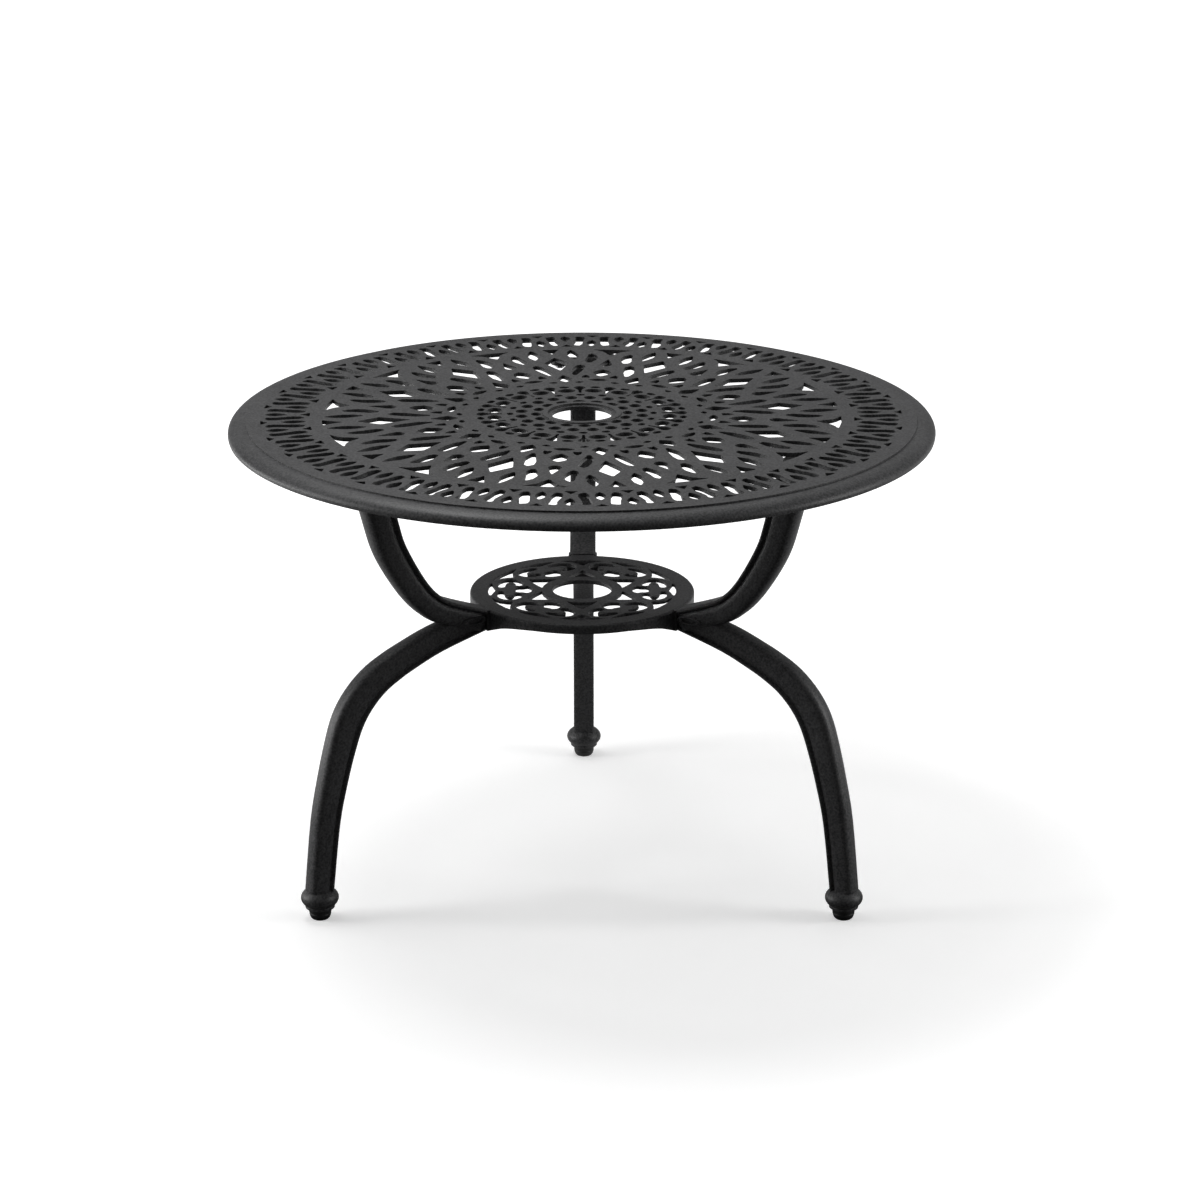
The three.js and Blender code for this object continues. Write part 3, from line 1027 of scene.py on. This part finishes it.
    def rim(self) -> Object:
        """Bullnose, skirt and the thicker ring under the plain edge of the plate.

        Returns:
            The rim.
        """
        rim, band, _, _ = self.ring_radii
        top, crest = self.height, self.bullnose_drop - self.crest_drop
        start, outer = rim + self.crease_width, self.radius - self.nose_inset
        nose = arc((start, top - self.bullnose_drop), outer - start, crest, 90, 0, self.nose_steps)
        skirt = filleted(
            [
                (outer, top - self.bullnose_drop),
                (outer - self.skirt_slope, top - self.skirt_depth),
                (outer - self.skirt_wall, top - self.skirt_depth),
                (outer - 2 * self.skirt_wall, top - self.ring_thickness - self.crease_depth),
            ],
            self.skirt_wall / 4,
        )[4:]
        profile = [
            (band, top - self.thickness + self.edge),
            (rim - self.edge, top - self.thickness + self.edge),
            (rim, top - self.crease_depth),
            (rim + self.crease_width * 0.4, top - self.crease_depth - self.crease_foot),
            *nose,
            *skirt,
            (band, top - self.ring_thickness),
        ]
        return spun(profile, self.round_steps)

    def collar(self) -> Object:
        """Collar with a stepped seat round the umbrella hole.

        Returns:
            The collar.
        """
        crown = self.height + self.collar_rise
        seat = self.hole_radius + self.seat_width
        under = self.height - self.cast_thickness - self.collar_drop
        foot = self.collar_foot - self.collar_skin
        profile = filleted(
            [
                (self.hole_radius, under),
                (self.hole_radius, crown - self.seat_depth),
                (seat, crown - self.seat_depth),
                (seat, crown),
                (seat + self.lip_width, crown),
                (foot, self.height - self.thickness / 2),
                (foot, under),
            ],
            self.collar_edge,
        )
        return spun(profile, self.collar_steps)

    def boss(self, x: float, y: float) -> Object:
        """A screw boss under the leg ring, with its blind hole.

        Args:
            x: Place of its axis along X.
            y: Place of its axis along Y.

        Returns:
            The boss.
        """
        low = self.height - self.thickness - self.boss_height
        high = self.height - self.thickness / 2
        deselect()
        bpy.ops.mesh.primitive_cylinder_add(
            vertices=32, radius=self.boss_radius, depth=high - low, location=(x, y, (low + high) / 2)
        )
        boss = bpy.context.object
        bpy.ops.object.transform_apply(location=True)
        with editing(boss):
            pick_faces(boss, lambda normal: normal.z < -0.9)
            bpy.ops.mesh.bevel(offset=self.boss_edge, segments=3, affect="EDGES")
            pick_faces(boss, lambda normal: normal.z < -0.99)
            bpy.ops.mesh.inset(thickness=self.boss_radius - self.boss_edge - self.screw_hole)
            bpy.ops.mesh.extrude_region_move(
                TRANSFORM_OT_translate={"value": (0, 0, self.boss_height - self.screw_cover)}
            )
        return boss

    def build(self) -> Object:
        """Builds the casting.

        Returns:
            The finished piece.
        """
        bosses = []
        for angle in leg_angles():
            for side in (-1, 1):
                x, y = turn_point((self.pad_radius, side * self.pad_spacing / 2), angle)
                bosses.append(self.boss(x, y))
        casting = join("top_casting", [self.grating(), self.rim(), self.collar(), *bosses])
        return settle(smooth(casting), "top_casting", Finish.CAST_PAINT, FRAME_BODY, ["table_top"])


def leg_angles() -> list[float]:
    """Directions of the legs, in degrees from +X."""
    return [FIRST_LEG_ANGLE + 360 / LEG_COUNT * i for i in range(LEG_COUNT)]


# The shelf


@dataclass
class Shelf:
    """The small pierced shelf between the legs."""

    height: float = 450 * MM
    radius: float = 173 * MM
    rim_width: float = 27 * MM
    thickness: float = 6 * MM
    edge: float = 1.2 * MM
    edge_radius: float = 4 * MM
    skirt_depth: float = 14 * MM
    skirt_wall: float = 6 * MM
    hole_radius: float = 45.5 * MM
    collar_width: float = 15 * MM
    collar_thickness: float = 6.6 * MM
    lug_standout: float = 2.7 * MM
    lug_thickness: float = 17.7 * MM
    lug_width: float = 36 * MM
    lug_drop: float = 19 * MM
    lug_edge: float = 0.7 * MM
    bolt_drop: float = 17 * MM
    hearts: int = 6
    heart_rounding: float = 1.8 * MM
    spandrel_rounding: float = 1.6 * MM
    overlap: float = 3 * MM
    ball_radius: float = 7.8 * MM
    ball_flatness: float = 0.36
    ball_drop: float = 2.2 * MM
    ball_out: float = 110.8 * MM
    ball_aside: float = 27.5 * MM
    ring_edge: float = 1.2 * MM
    collar_edge: float = 1.4 * MM
    gap_start: float = 75 * MM
    gap_excess: float = 20 * MM
    collar_steps: int = 96
    round_steps: int = 144

    # Share of the radius sideways and share of the lug's drop
    SKIRT_EDGE = (
        (0, 0), (0.25, 0), (0.43, 0.02), (0.593, 0.18), (0.69, 0.4), (0.737, 0.6), (0.814, 1),
        (0.87, 1.4),
    )

    def heart_holes(self) -> list[Outline]:
        """Openings of one heart about the X axis: neck, crescent at the rim and one each side.

        Returns:
            Outlines of the four openings.
        """
        neck = [
            (76.5, 0), (77.5, 7), (80, 13), (84.5, 17.3), (88, 15.6), (92, 13.8), (97, 14.2),
            (101, 12.4), (103.4, 8), (102.6, 0),
        ]
        crescent = [
            (131.8, 0), (134.3, 7), (136.4, 14), (138.4, 22), (140.6, 29.5), (142.7, 25),
            (144.6, 13), (145.2, 0),
        ]
        scroll = [
            (92.5, 21), (91, 28), (92, 35), (95.5, 42), (102, 48), (111, 50.5), (119, 48.5),
            (126, 42), (130, 32), (130.8, 20), (129.3, 11), (124.5, 8.8), (120.5, 11), (119.3, 19),
            (117.8, 27), (114.5, 33.5), (110.5, 36), (106.5, 33.5), (104.5, 28), (103.5, 21),
            (100.5, 18.2), (96, 18),
        ]
        other = [(x, -y) for x, y in scroll]
        holes = (whole(neck), whole(crescent), scroll, other)
        return [[(x * MM, y * MM) for x, y in hole] for hole in holes]

    def spandrels(self) -> list[Outline]:
        """Openings between two hearts, about the line between them turned to the X axis.

        Returns:
            Outlines of the inner and the outer one.
        """
        inner = whole(
            [(63.4, 0), (63.2, -11), (62.7, -22), (69, -16.2), (77, -10.4), (86, -5.2), (95, -0.9)]
        )
        outer = whole([(145.3, 0), (145.2, -7), (144.4, -14), (137, -7), (129, -3.1), (122, -0.8)])
        return [[turn_point((r * MM, 0), a) for r, a in hole] for hole in (inner, outer)]

    def lattice(self) -> Object:
        """The pierced plate of hearts and scrolls.

        Returns:
            The plate.
        """
        pitch = 360 / self.hearts
        holes = []
        groups = (
            (self.heart_holes(), 0, self.heart_rounding),
            (self.spandrels(), 0.5, self.spandrel_rounding),
        )
        for heart in range(self.hearts):
            for outlines, ahead, rounding in groups:
                for hole in outlines:
                    turned = [turn_point(point, (heart + ahead) * pitch) for point in hole]
                    holes.append(filleted(turned, rounding, ROUNDING_STEPS))
        collar = self.hole_radius + self.collar_width
        holes.append(circle(collar - self.overlap, self.collar_steps))
        outline = circle(self.radius - self.rim_width + self.overlap, self.round_steps)
        return cast_plate(outline, holes, self.height - self.thickness, self.height, self.edge)

    def balls(self) -> list[Object]:
        """Round ends of the scrolls.

        Returns:
            The balls.
        """
        made = []
        middle = self.height - self.ball_drop
        for heart in range(self.hearts):
            for side in (-1, 1):
                x, y = turn_point((self.ball_out, side * self.ball_aside), heart * 360 / self.hearts)
                place = (x, y, middle)
                deselect()
                bpy.ops.mesh.primitive_uv_sphere_add(
                    segments=24, ring_count=14, radius=self.ball_radius, location=place
                )
                ball = bpy.context.object
                bpy.ops.object.transform_apply(location=True)
                with editing(ball):
                    bpy.ops.transform.resize(value=(1, 1, self.ball_flatness), center_override=place)
                made.append(ball)
        return made

    def edge_ring(self) -> Object:
        """Flat rim, rounded shoulder and a skirt whose lower edge swings down to each leg.

        Returns:
            The ring.
        """
        inner = self.radius - self.rim_width
        corner = self.radius - self.edge_radius
        shoulder = self.height - self.edge_radius
        low = self.height - self.skirt_depth - self.lug_drop
        wall = self.skirt_wall
        profile = [
            (inner + SEAT_GAP, self.height - self.edge),
            (inner + self.edge, self.height),
            *arc((corner, shoulder), self.edge_radius, self.edge_radius, 90, 0, 6),
            (self.radius, low),
            (self.radius - wall, low),
            (self.radius - wall, shoulder),
            (inner + wall, self.height - self.thickness),
            (inner + SEAT_GAP, self.height - self.thickness),
        ]
        ring = spun(profile, self.round_steps)
        for angle in leg_angles():
            gap = self.skirt_gap()
            gap.data.transform(turned_place(angle + 180 / LEG_COUNT))
            combine(ring, gap, "DIFFERENCE")
        limit = math.radians(50)
        return apply_modifier(
            ring, "BEVEL", width=self.ring_edge, segments=3, limit_method="ANGLE", angle_limit=limit
        )

    def skirt_gap(self) -> Object:
        """What the skirt's lower edge leaves free between two legs, about the X axis.

        Returns:
            The block to cut away.
        """
        low = self.height - self.skirt_depth
        course = along_curve(self.SKIRT_EDGE, 4)
        half = [(side * self.radius, low - down * self.lug_drop) for side, down in course]
        edge = [(-side, height) for side, height in reversed(half[1:])] + half
        near, far = self.gap_start, self.radius + self.gap_excess
        return swept([[Vector((x, side, height)) for side, height in edge] for x in (near, far)])

    def collar(self) -> Object:
        """Flat collar round the hole.

        Returns:
            The collar.
        """
        outer = self.hole_radius + self.collar_width
        low = self.height - self.collar_thickness
        inner, high = self.hole_radius, self.height
        corners = [(inner, low), (inner, high), (outer, high), (outer, low)]
        return spun(filleted(corners, self.collar_edge), self.collar_steps)

    def lug(self, angle: float) -> Object:
        """Block behind the skirt that one leg bolts to.

        Args:
            angle: Direction of the leg, in degrees.

        Returns:
            The lug.
        """
        outer = self.radius + self.lug_standout
        inner = outer - self.lug_thickness
        bottom = self.height - self.skirt_depth - self.lug_drop
        top = self.height - SEAT_GAP
        deselect()
        bpy.ops.mesh.primitive_cube_add(size=1)
        lug = bpy.context.object
        with editing(lug):
            bpy.ops.transform.resize(value=(outer - inner, self.lug_width, top - bottom))
            bpy.ops.transform.translate(value=((inner + outer) / 2, 0, (top + bottom) / 2))
        apply_modifier(lug, "BEVEL", width=self.lug_edge, segments=3, limit_method="ANGLE")
        lug.data.transform(turned_place(angle))
        return lug

    def build(self) -> Object:
        """Builds the casting.

        Returns:
            The finished piece.
        """
        lugs = [self.lug(angle) for angle in leg_angles()]
        parts = [self.lattice(), self.edge_ring(), self.collar(), *self.balls(), *lugs]
        casting = join("shelf_casting", parts)
        return settle(smooth(casting), "shelf_casting", Finish.CAST_PAINT, FRAME_BODY, ["shelf"])


# The legs


@dataclass
class Leg:
    """One forked leg: an arm up to the top and a limb down to its foot."""

    top: TableTop
    shelf: Shelf
    width: float = 34 * MM
    depth: float = 41 * MM
    end_height: float = 34 * MM
    foot_radius: float = 459 * MM
    ankle_height: float = 44 * MM
    ankle_inset: float = 18 * MM
    arm_width: float = 41 * MM
    arm_depth: float = 50 * MM
    arm_reach: float = 56 * MM
    pad_thickness: float = 8 * MM
    ear_radius: float = 15 * MM
    neck_width: float = 36 * MM
    bulb_radius: float = 28.8 * MM
    bulb_half_height: float = 18 * MM
    bulb_crest: float = 34 * MM
    bulb_bottom: float = 18 * MM
    ring_radius: float = 22.4 * MM
    bulb_top_angle: float = 62.0
    bulb_edge: float = 1.4 * MM
    ring_height: float = 4.5 * MM
    ring_slope: float = 0.6 * MM
    stud_hole: float = 4.3 * MM
    stud_hole_depth: float = 9 * MM
    bulb_steps: int = 48
    arc_steps: int = 16
    smooth_angle: float = 38.0
    pad_edge: float = 1.3 * MM
    pad_hole: float = 4.6 * MM
    eyelet_out: float = 199 * MM
    eyelet_height: float = 438 * MM
    eyelet_size: tuple[float, float, float] = (16 * MM, 4.8 * MM, 12 * MM)
    eyelet_bead: float = 0.3
    eyelet_flank: float = 0.47

    # Share outwards, share up or down, and share of the depth
    LIMB = (
        (0, 0, 0.93), (0.28, 0.056, 0.99), (0.46, 0.109, 1.04), (0.56, 0.145, 1.08),
        (0.65, 0.187, 1.12), (0.73, 0.246, 1.15), (0.79, 0.314, 1.15), (0.84, 0.408, 1.1),
        (0.895, 0.541, 1.04), (0.95, 0.713, 0.99), (1, 1, 0.95),
    )
    ARM = (
        (1, 1.06, 0.98), (0.848, 0.65, 0.95), (0.792, 0.515, 0.93), (0.72, 0.408, 0.91),
        (0.64, 0.308, 0.88), (0.56, 0.222, 0.85), (0.47, 0.152, 0.82), (0.344, 0.09, 0.79),
        (0, 0, 0.76),
    )
    # Share of the depth from the inner edge, and share of half the width
    SECTION = (
        (0, 0), (0, 0.5), (0.012, 0.76), (0.04, 0.94), (0.08, 1), (0.125, 0.98), (0.16, 0.82),
        (0.2, 0.76), (0.25, 0.84), (0.32, 0.93), (0.45, 0.95), (0.6, 0.96), (0.72, 0.96),
        (0.81, 0.94), (0.88, 0.87), (0.935, 0.73), (0.972, 0.52), (0.992, 0.26), (1, 0),
    )

    @property
    def end_radius(self) -> float:
        """Radius of the face that meets the shelf's lug."""
        return self.shelf.radius + self.shelf.lug_standout + SEAT_GAP

    @property
    def end_bottom(self) -> float:
        """Height of the lower corner of that face."""
        return self.shelf.height - self.shelf.skirt_depth - self.shelf.lug_drop

    @property
    def pad_face(self) -> float:
        """Height of the pad's upper face, just under the bosses."""
        return self.top.height - self.top.thickness - self.top.boss_height - SEAT_GAP

    def bar(
        self,
        course: Sequence[Sequence[float]],
        start: Point,
        end: Point,
        width: float,
        full_depth: float,
    ) -> Object:
        """A bar of the leg's section along a course of its inner edge.

        Args:
            course: Rows of share outwards, share up or down, and share of the depth.
            start: Radius and height where both shares are 0.
            end: Radius and height where both shares are 1.
            width: Size across the leg's plane.
            full_depth: Size in the leg's plane.

        Returns:
            The bar, in the XZ plane.
        """
        rows = along_curve(course, 4)
        places = [
            Vector((start[0] + (end[0] - start[0]) * out, 0, start[1] + (end[1] - start[1]) * rise))
            for out, rise, _ in rows
        ]
        section = whole(self.SECTION)
        sections = []
        for i, (place, row) in enumerate(zip(places, rows)):
            along = (places[min(i + 1, len(places) - 1)] - places[max(i - 1, 0)]).normalized()
            outward = Vector((-along.z, 0, along.x))
            through, across = outward * row[2] * full_depth, Vector((0, width / 2, 0))
            sections.append([place + through * deep + across * wide for deep, wide in section])
        return swept(sections)

    def bulb(self) -> Object:
        """Turned bulb with a ring below it, round the foot's axis.

        Returns:
            The bulb of the leg about the X axis.
        """
        bottom, crest, tall = self.bulb_bottom, self.bulb_crest, self.bulb_half_height
        ring_top = bottom + self.ring_height
        hole_end = bottom + self.stud_hole_depth
        lowest = math.degrees(math.asin((ring_top - crest) / tall))
        side = arc((0.0, crest), self.bulb_radius, tall, self.bulb_top_angle, lowest, self.arc_steps)
        ring = filleted(
            [
                side[-1],
                (self.ring_radius, ring_top - self.ring_slope),
                (self.ring_radius, bottom),
                (self.stud_hole, bottom),
                (self.stud_hole, hole_end + 1 * MM),
            ],
            self.bulb_edge,
        )[4:-4]
        profile = [(0.0, side[0][1]), *side, *ring, (self.stud_hole, hole_end), (0.0, hole_end)]
        bulb = spun(profile, self.bulb_steps)
        bulb.data.transform(Matrix.Translation((self.foot_radius, 0, 0)))
        return bulb

    def pad(self) -> Object:
        """Plate at the top of the arm, with an ear for each of its two screws.

        Returns:
            The plate.
        """
        ring, half, ear = self.top.pad_radius, self.top.pad_spacing / 2, self.ear_radius
        neck = self.neck_width / 2
        start = ring - self.arm_reach
        outline = []
        for side, first in ((1, 0), (-1, 180)):
            outline += arc((ring, side * half), ear, ear, first, first + 180, self.arc_steps)
            if side == 1:
                outline += [(ring - ear, neck), (start, neck), (start, -neck), (ring - ear, -neck)]
        holes = [circle(self.pad_hole, 24, ring, side * half) for side in (-1, 1)]
        low = self.pad_face - self.pad_thickness
        return cast_plate(outline, holes, low, self.pad_face, self.pad_edge)

    def eyelet(self, side: int) -> Object:
        """Raised oval on one flank where the arm and the limb part.

        Args:
            side: Which flank, 1 or -1.

        Returns:
            The oval.
        """
        deselect()
        bpy.ops.mesh.primitive_torus_add(
            major_radius=1, minor_radius=self.eyelet_bead, major_segments=36, minor_segments=10
        )
        ring = bpy.context.object
        with editing(ring):
            bpy.ops.transform.resize(value=self.eyelet_size)
        aside = side * self.eyelet_flank * self.arm_width
        place = Matrix.Translation((self.eyelet_out, aside, self.eyelet_height))
        ring.data.transform(place @ Matrix.Rotation(math.radians(90), 4, "X"))
        return ring

    def casting(self) -> Object:
        """The whole leg about the X axis.

        Returns:
            The leg.
        """
        start = (self.end_radius, self.end_bottom)
        ankle = (self.foot_radius - self.ankle_inset, self.ankle_height)
        limb = self.bar(self.LIMB, start, ankle, self.width, self.depth)
        arm_start = (self.end_radius, self.end_bottom + self.end_height)
        arm_end = (self.top.pad_radius - self.arm_reach, self.pad_face - self.pad_thickness)
        arm = self.bar(self.ARM, arm_start, arm_end, self.arm_width, self.arm_depth)
        for bar in (limb, arm):
            cut_away(bar, Vector((self.end_radius, 0, 0)), Vector((-1, 0, 0)))
        cut_away(arm, Vector((0, 0, self.pad_face)), Vector((0, 0, 1)))
        casting = fuse(limb, [arm, self.bulb(), self.pad()])
        return join("leg", [casting, self.eyelet(1), self.eyelet(-1)])

    def build(self) -> None:
        """Builds the three legs."""
        model = smooth(self.casting(), self.smooth_angle)
        for number, angle in enumerate(leg_angles(), 1):
            leg = copied(model, f"leg_casting_{number}", turned_place(angle))
            settle(leg, f"leg_casting_{number}", Finish.CAST_PAINT, FRAME_BODY, [f"leg_{number}"])
        bpy.data.objects.remove(model, do_unlink=True)


# Screws and feet


@dataclass
class Screw:
    """A hexagon screw, its seat at the origin and its thread along +Z."""

    length: float
    radius: float = 4 * MM
    pitch: float = 1.25 * MM
    thread_depth: float = 0.55 * MM
    head_across: float = 13 * MM
    head_height: float = 5.3 * MM
    chamfer_height: float = 0.7 * MM
    chamfer_width: float = 1.1 * MM
    corner_edge: float = 0.3 * MM
    round_steps: int = 20
    smooth_angle: float = 30.0

    def shank(self) -> Object:
        """Threaded shank from inside the head.

        Returns:
            The shank.
        """
        low, tip = -self.head_height / 2, self.radius - 2 * self.thread_depth
        depth, steps = self.thread_depth, self.round_steps
        return threaded(low, self.length, self.radius, tip, self.pitch, depth, steps)

    def head(self) -> Object:
        """Hexagon with a chamfered end.

        Returns:
            The head.
        """
        deselect()
        depth = self.head_height - self.chamfer_height
        radius = self.head_across / math.sqrt(3)
        bpy.ops.mesh.primitive_cylinder_add(
            vertices=6, radius=radius, depth=depth, location=(0, 0, -depth / 2)
        )
        head = bpy.context.object
        bpy.ops.object.transform_apply(location=True)
        with editing(head):
            pick_faces(head, lambda normal: normal.z < -0.9)
            bpy.ops.mesh.inset(thickness=self.chamfer_width)
            bpy.ops.transform.translate(value=(0, 0, -self.chamfer_height))
            pick_faces(head, lambda normal: abs(normal.z) < 0.1)
            bpy.ops.mesh.bevel(offset=self.corner_edge, segments=2)
        return head

    def model(self) -> Object:
        """The whole screw."""
        return smooth(join("screw", [self.head(), self.shank()]), self.smooth_angle)


@dataclass
class Feet:
    """Levelling feet: a threaded stud and a moulded glide in each leg."""

    leg: Leg
    glide_radius: float = 17 * MM
    toe_radius: float = 12.5 * MM
    shoulder: float = 7 * MM
    socket_floor: float = 6 * MM
    stud_top: float = 58 * MM
    stud_radius: float = 4 * MM
    pitch: float = 1.25 * MM
    thread_depth: float = 0.6 * MM
    stud_chamfer: float = 1 * MM
    stud_steps: int = 24
    stud_smooth_angle: float = 25.0
    glide_edge: float = 0.9 * MM
    glide_steps: int = 48
    glide_smooth_angle: float = 40.0
    toe_out: float = 0.55
    toe_up: float = 0.4

    # How far in from the rim and how far above the shoulder, in metres
    GROOVE = ((0.3 * MM, 1 * MM), (0.3 * MM, 2.5 * MM), (0.9 * MM, 3 * MM), (0, 3.6 * MM))

    def glide(self) -> Object:
        """Moulded glide with a rounded toe and a shallow groove.

        Returns:
            The glide.
        """
        top = self.leg.bulb_bottom - SEAT_GAP
        rim, toe = self.glide_radius, self.toe_radius
        bore = self.stud_radius + SEAT_GAP
        corners = [
            (toe, 0.0),
            (toe + self.toe_out * (rim - toe), self.shoulder * self.toe_up),
            *((rim - inset, self.shoulder + rise) for inset, rise in self.GROOVE),
            (rim, top),
            (bore, top),
            (bore, self.socket_floor),
        ]
        profile = [(0.0, 0.0), *filleted(corners, self.glide_edge), (0.0, self.socket_floor)]
        return smooth(spun(profile, self.glide_steps), self.glide_smooth_angle)

    def stud(self) -> Object:
        """Threaded stud.

        Returns:
            The stud.
        """
        low, tip = self.socket_floor + SEAT_GAP, self.stud_radius - self.stud_chamfer
        depth, steps = self.thread_depth, self.stud_steps
        rod = threaded(low, self.stud_top, self.stud_radius, tip, self.pitch, depth, steps)
        return smooth(rod, self.stud_smooth_angle)

    def build(self) -> None:
        """Builds the three feet."""
        models = (
            (self.stud(), "stud", "foot_stud", Finish.ZINC_STEEL),
            (self.glide(), "glide", "foot_glide", Finish.GLIDE_PLASTIC),
        )
        for number, angle in enumerate(leg_angles(), 1):
            place = turned_place(angle) @ Matrix.Translation((self.leg.foot_radius, 0, 0))
            for model, name, node, finish in models:
                piece_name = f"levelling_{name}_{number}"
                piece = copied(model, piece_name, place)
                settle(piece, piece_name, finish, f"foot_{number}", [f"{node}_{number}"])
        for model, *_ in models:
            bpy.data.objects.remove(model, do_unlink=True)


@dataclass
class Fasteners:
    """Screws from the legs up into the top and from the shelf into the legs."""

    top: TableTop
    leg: Leg
    bolt_reach: float = 25 * MM
    names: tuple[str, str] = ("a", "b")

    def build(self) -> None:
        """Builds the nine screws."""
        seat = self.leg.pad_face - self.leg.pad_thickness
        pad_screw = Screw(self.top.height - self.top.thickness - self.top.screw_cover - seat).model()
        shelf = self.leg.shelf
        inner = shelf.radius + shelf.lug_standout - shelf.lug_thickness
        shelf_screw = Screw(self.leg.end_radius + self.bolt_reach - inner).model()
        half = self.top.pad_spacing / 2
        for number, angle in enumerate(leg_angles(), 1):
            turn = turned_place(angle)
            for letter, side in zip(self.names, (-1, 1)):
                place = turn @ Matrix.Translation((self.top.pad_radius, side * half, seat - SEAT_GAP))
                name, node = f"pad_screw_{number}{letter}", f"top_screw_{number}{letter}"
                settle(copied(pad_screw, name, place), name, Finish.ZINC_STEEL, FRAME_BODY, [node])
            place = turn @ Matrix.Translation((inner - SEAT_GAP, 0, shelf.height - shelf.bolt_drop))
            place = place @ Matrix.Rotation(math.radians(90), 4, "Y")
            name, node = f"lug_screw_{number}", f"shelf_screw_{number}"
            settle(copied(shelf_screw, name, place), name, Finish.ZINC_STEEL, FRAME_BODY, [node])
        for model in (pad_screw, shelf_screw):
            bpy.data.objects.remove(model, do_unlink=True)


# Studio


@dataclass(frozen=True)
class Softbox:
    """A rectangular area light: its place, its size in metres and its power in watts."""

    name: str
    place: Place
    size: Point
    power: float

    def build(self, aim: Vector) -> None:
        """Adds the light.

        Args:
            aim: The point that it faces.
        """
        data = bpy.data.lights.new(self.name, "AREA")
        data.shape = "RECTANGLE"
        data.size, data.size_y = self.size
        data.energy = self.power
        lamp = bpy.data.objects.new(self.name, data)
        bpy.context.collection.objects.link(lamp)
        lamp.location = self.place
        lamp.rotation_euler = (aim - lamp.location).to_track_quat("-Z", "Y").to_euler()


@dataclass
class Studio:
    """White floor and background, soft lights and the camera."""

    floor_size: float = 30.0
    floor_bounce: float = 0.16
    floor_seen: float = 0.8
    floor_fade: Span = ((0.7, 2.2), (0.46, 1.0))
    floor_mirrored: Span = ((-0.2, 1.0), (0.0, 0.8))
    sky_mirrored: float = 0.2
    sky_by_height: Span = ((0.15, 0.8), (0.03, 0.42))
    sky_by_depth: Span = ((-0.5, 0.5), (0.15, 1.3))
    aim_height: float = 0.45
    camera_place: Place = (0.0275, -4.917, 2.0785)
    camera_tilt: float = 71.49
    lens: float = 100.7
    sensor: float = 36.0

    LIGHTS = (
        Softbox("overhead", (-0.8, 0.4, 3.2), (1.0, 1.0), 38),
        Softbox("back", (0, 2.2, 3.2), (2.6, 1.4), 8),
        Softbox("left", (-3.2, -0.4, 1.2), (1.0, 1.8), 46),
        Softbox("right", (3.2, -0.4, 1.2), (1.0, 1.8), 44),
        Softbox("low_left", (-2.3, 0.6, 0.35), (1.3, 0.6), 12),
    )

    def floor(self) -> None:
        """A white floor that keeps the shadow and can't be seen from below."""
        deselect()
        bpy.ops.mesh.primitive_plane_add(size=self.floor_size, location=(0, 0, 0))
        floor = bpy.context.object
        floor.name = "studio_floor"
        with editing(floor):
            bpy.ops.mesh.subdivide(number_cuts=3)
        shader = Shader("studio_floor_finish")
        seen, mirrored = shader.rays("Is Camera Ray", "Is Glossy Ray")
        colour = shader.mix(seen, grey(self.floor_bounce), grey(self.floor_seen))
        white = shader.node("BsdfDiffuse", {}, {"Color": colour})
        reach = shader.node("VectorMath", {"operation": "LENGTH"}, {0: shader.place()}, "Value")
        fade = shader.spread(reach, self.floor_fade)
        behind = shader.spread(shader.axis(shader.place(), 1), self.floor_mirrored)
        strength = seen * fade + mirrored * behind
        glow = shader.node("Emission", {}, {"Color": grey(1), "Strength": strength})
        lit = shader.node("AddShader", {}, {0: white, 1: glow})
        clear = shader.node("BsdfTransparent", {}, {})
        below = shader.node("NewGeometry", {}, {}, "Backfacing")
        shader.end(shader.node("MixShader", {}, {0: below, 1: lit, 2: clear}))
        floor.data.materials.append(shader.material)

    def world(self) -> None:
        """Soft light that comes from above; the background is white where it is seen."""
        world = bpy.data.worlds.new("studio_world")
        bpy.context.scene.world = world
        world.use_nodes = True
        shader = Shader("", world.node_tree)
        camera, glossy, through = shader.rays("Is Camera Ray", "Is Glossy Ray", "Is Transmission Ray")
        clamped = {"Value": camera + through + glossy * self.sky_mirrored}
        seen = shader.node("Clamp", {}, clamped)
        towards = shader.node("TexCoord", {}, {}, "Generated")
        height = shader.spread(shader.axis(towards, 2), self.sky_by_height)
        depth = shader.spread(shader.axis(towards, 1), self.sky_by_depth)
        lamp = shader.node("Background", {}, {"Color": grey(1), "Strength": height * depth})
        white = shader.node("Background", {}, {"Color": grey(1), "Strength": 1.0})
        shade = shader.node("MixShader", {}, {0: seen, 1: lamp, 2: white})
        shader.end(shade, "ShaderNodeOutputWorld")

    def camera(self) -> None:
        """The camera at the photograph's viewing angle."""
        data = bpy.data.cameras.new("camera")
        data.lens = self.lens
        data.sensor_width = self.sensor
        camera = bpy.data.objects.new("camera", data)
        bpy.context.collection.objects.link(camera)
        camera.location = self.camera_place
        camera.rotation_euler = (math.radians(self.camera_tilt), 0, 0)
        bpy.context.scene.camera = camera

    def build(self) -> None:
        """Builds the studio."""
        self.floor()
        self.world()
        for light in self.LIGHTS:
            light.build(Vector((0, 0, self.aim_height)))
        self.camera()


def main() -> None:
    """Builds the table and the studio."""
    logging.basicConfig(level=logging.INFO, format="%(message)s")
    bpy.context.scene.view_settings.view_transform = "Standard"
    top_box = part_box("table_top")
    top = TableTop(height=round(top_box[1].z, 5) - TableTop.collar_rise)
    shelf = Shelf()
    leg = Leg(top, shelf)
    top.build()
    shelf.build()
    leg.build()
    Feet(leg).build()
    Fasteners(top, leg).build()
    Studio().build()
    deselect()


if __name__ == "__main__":
    main()
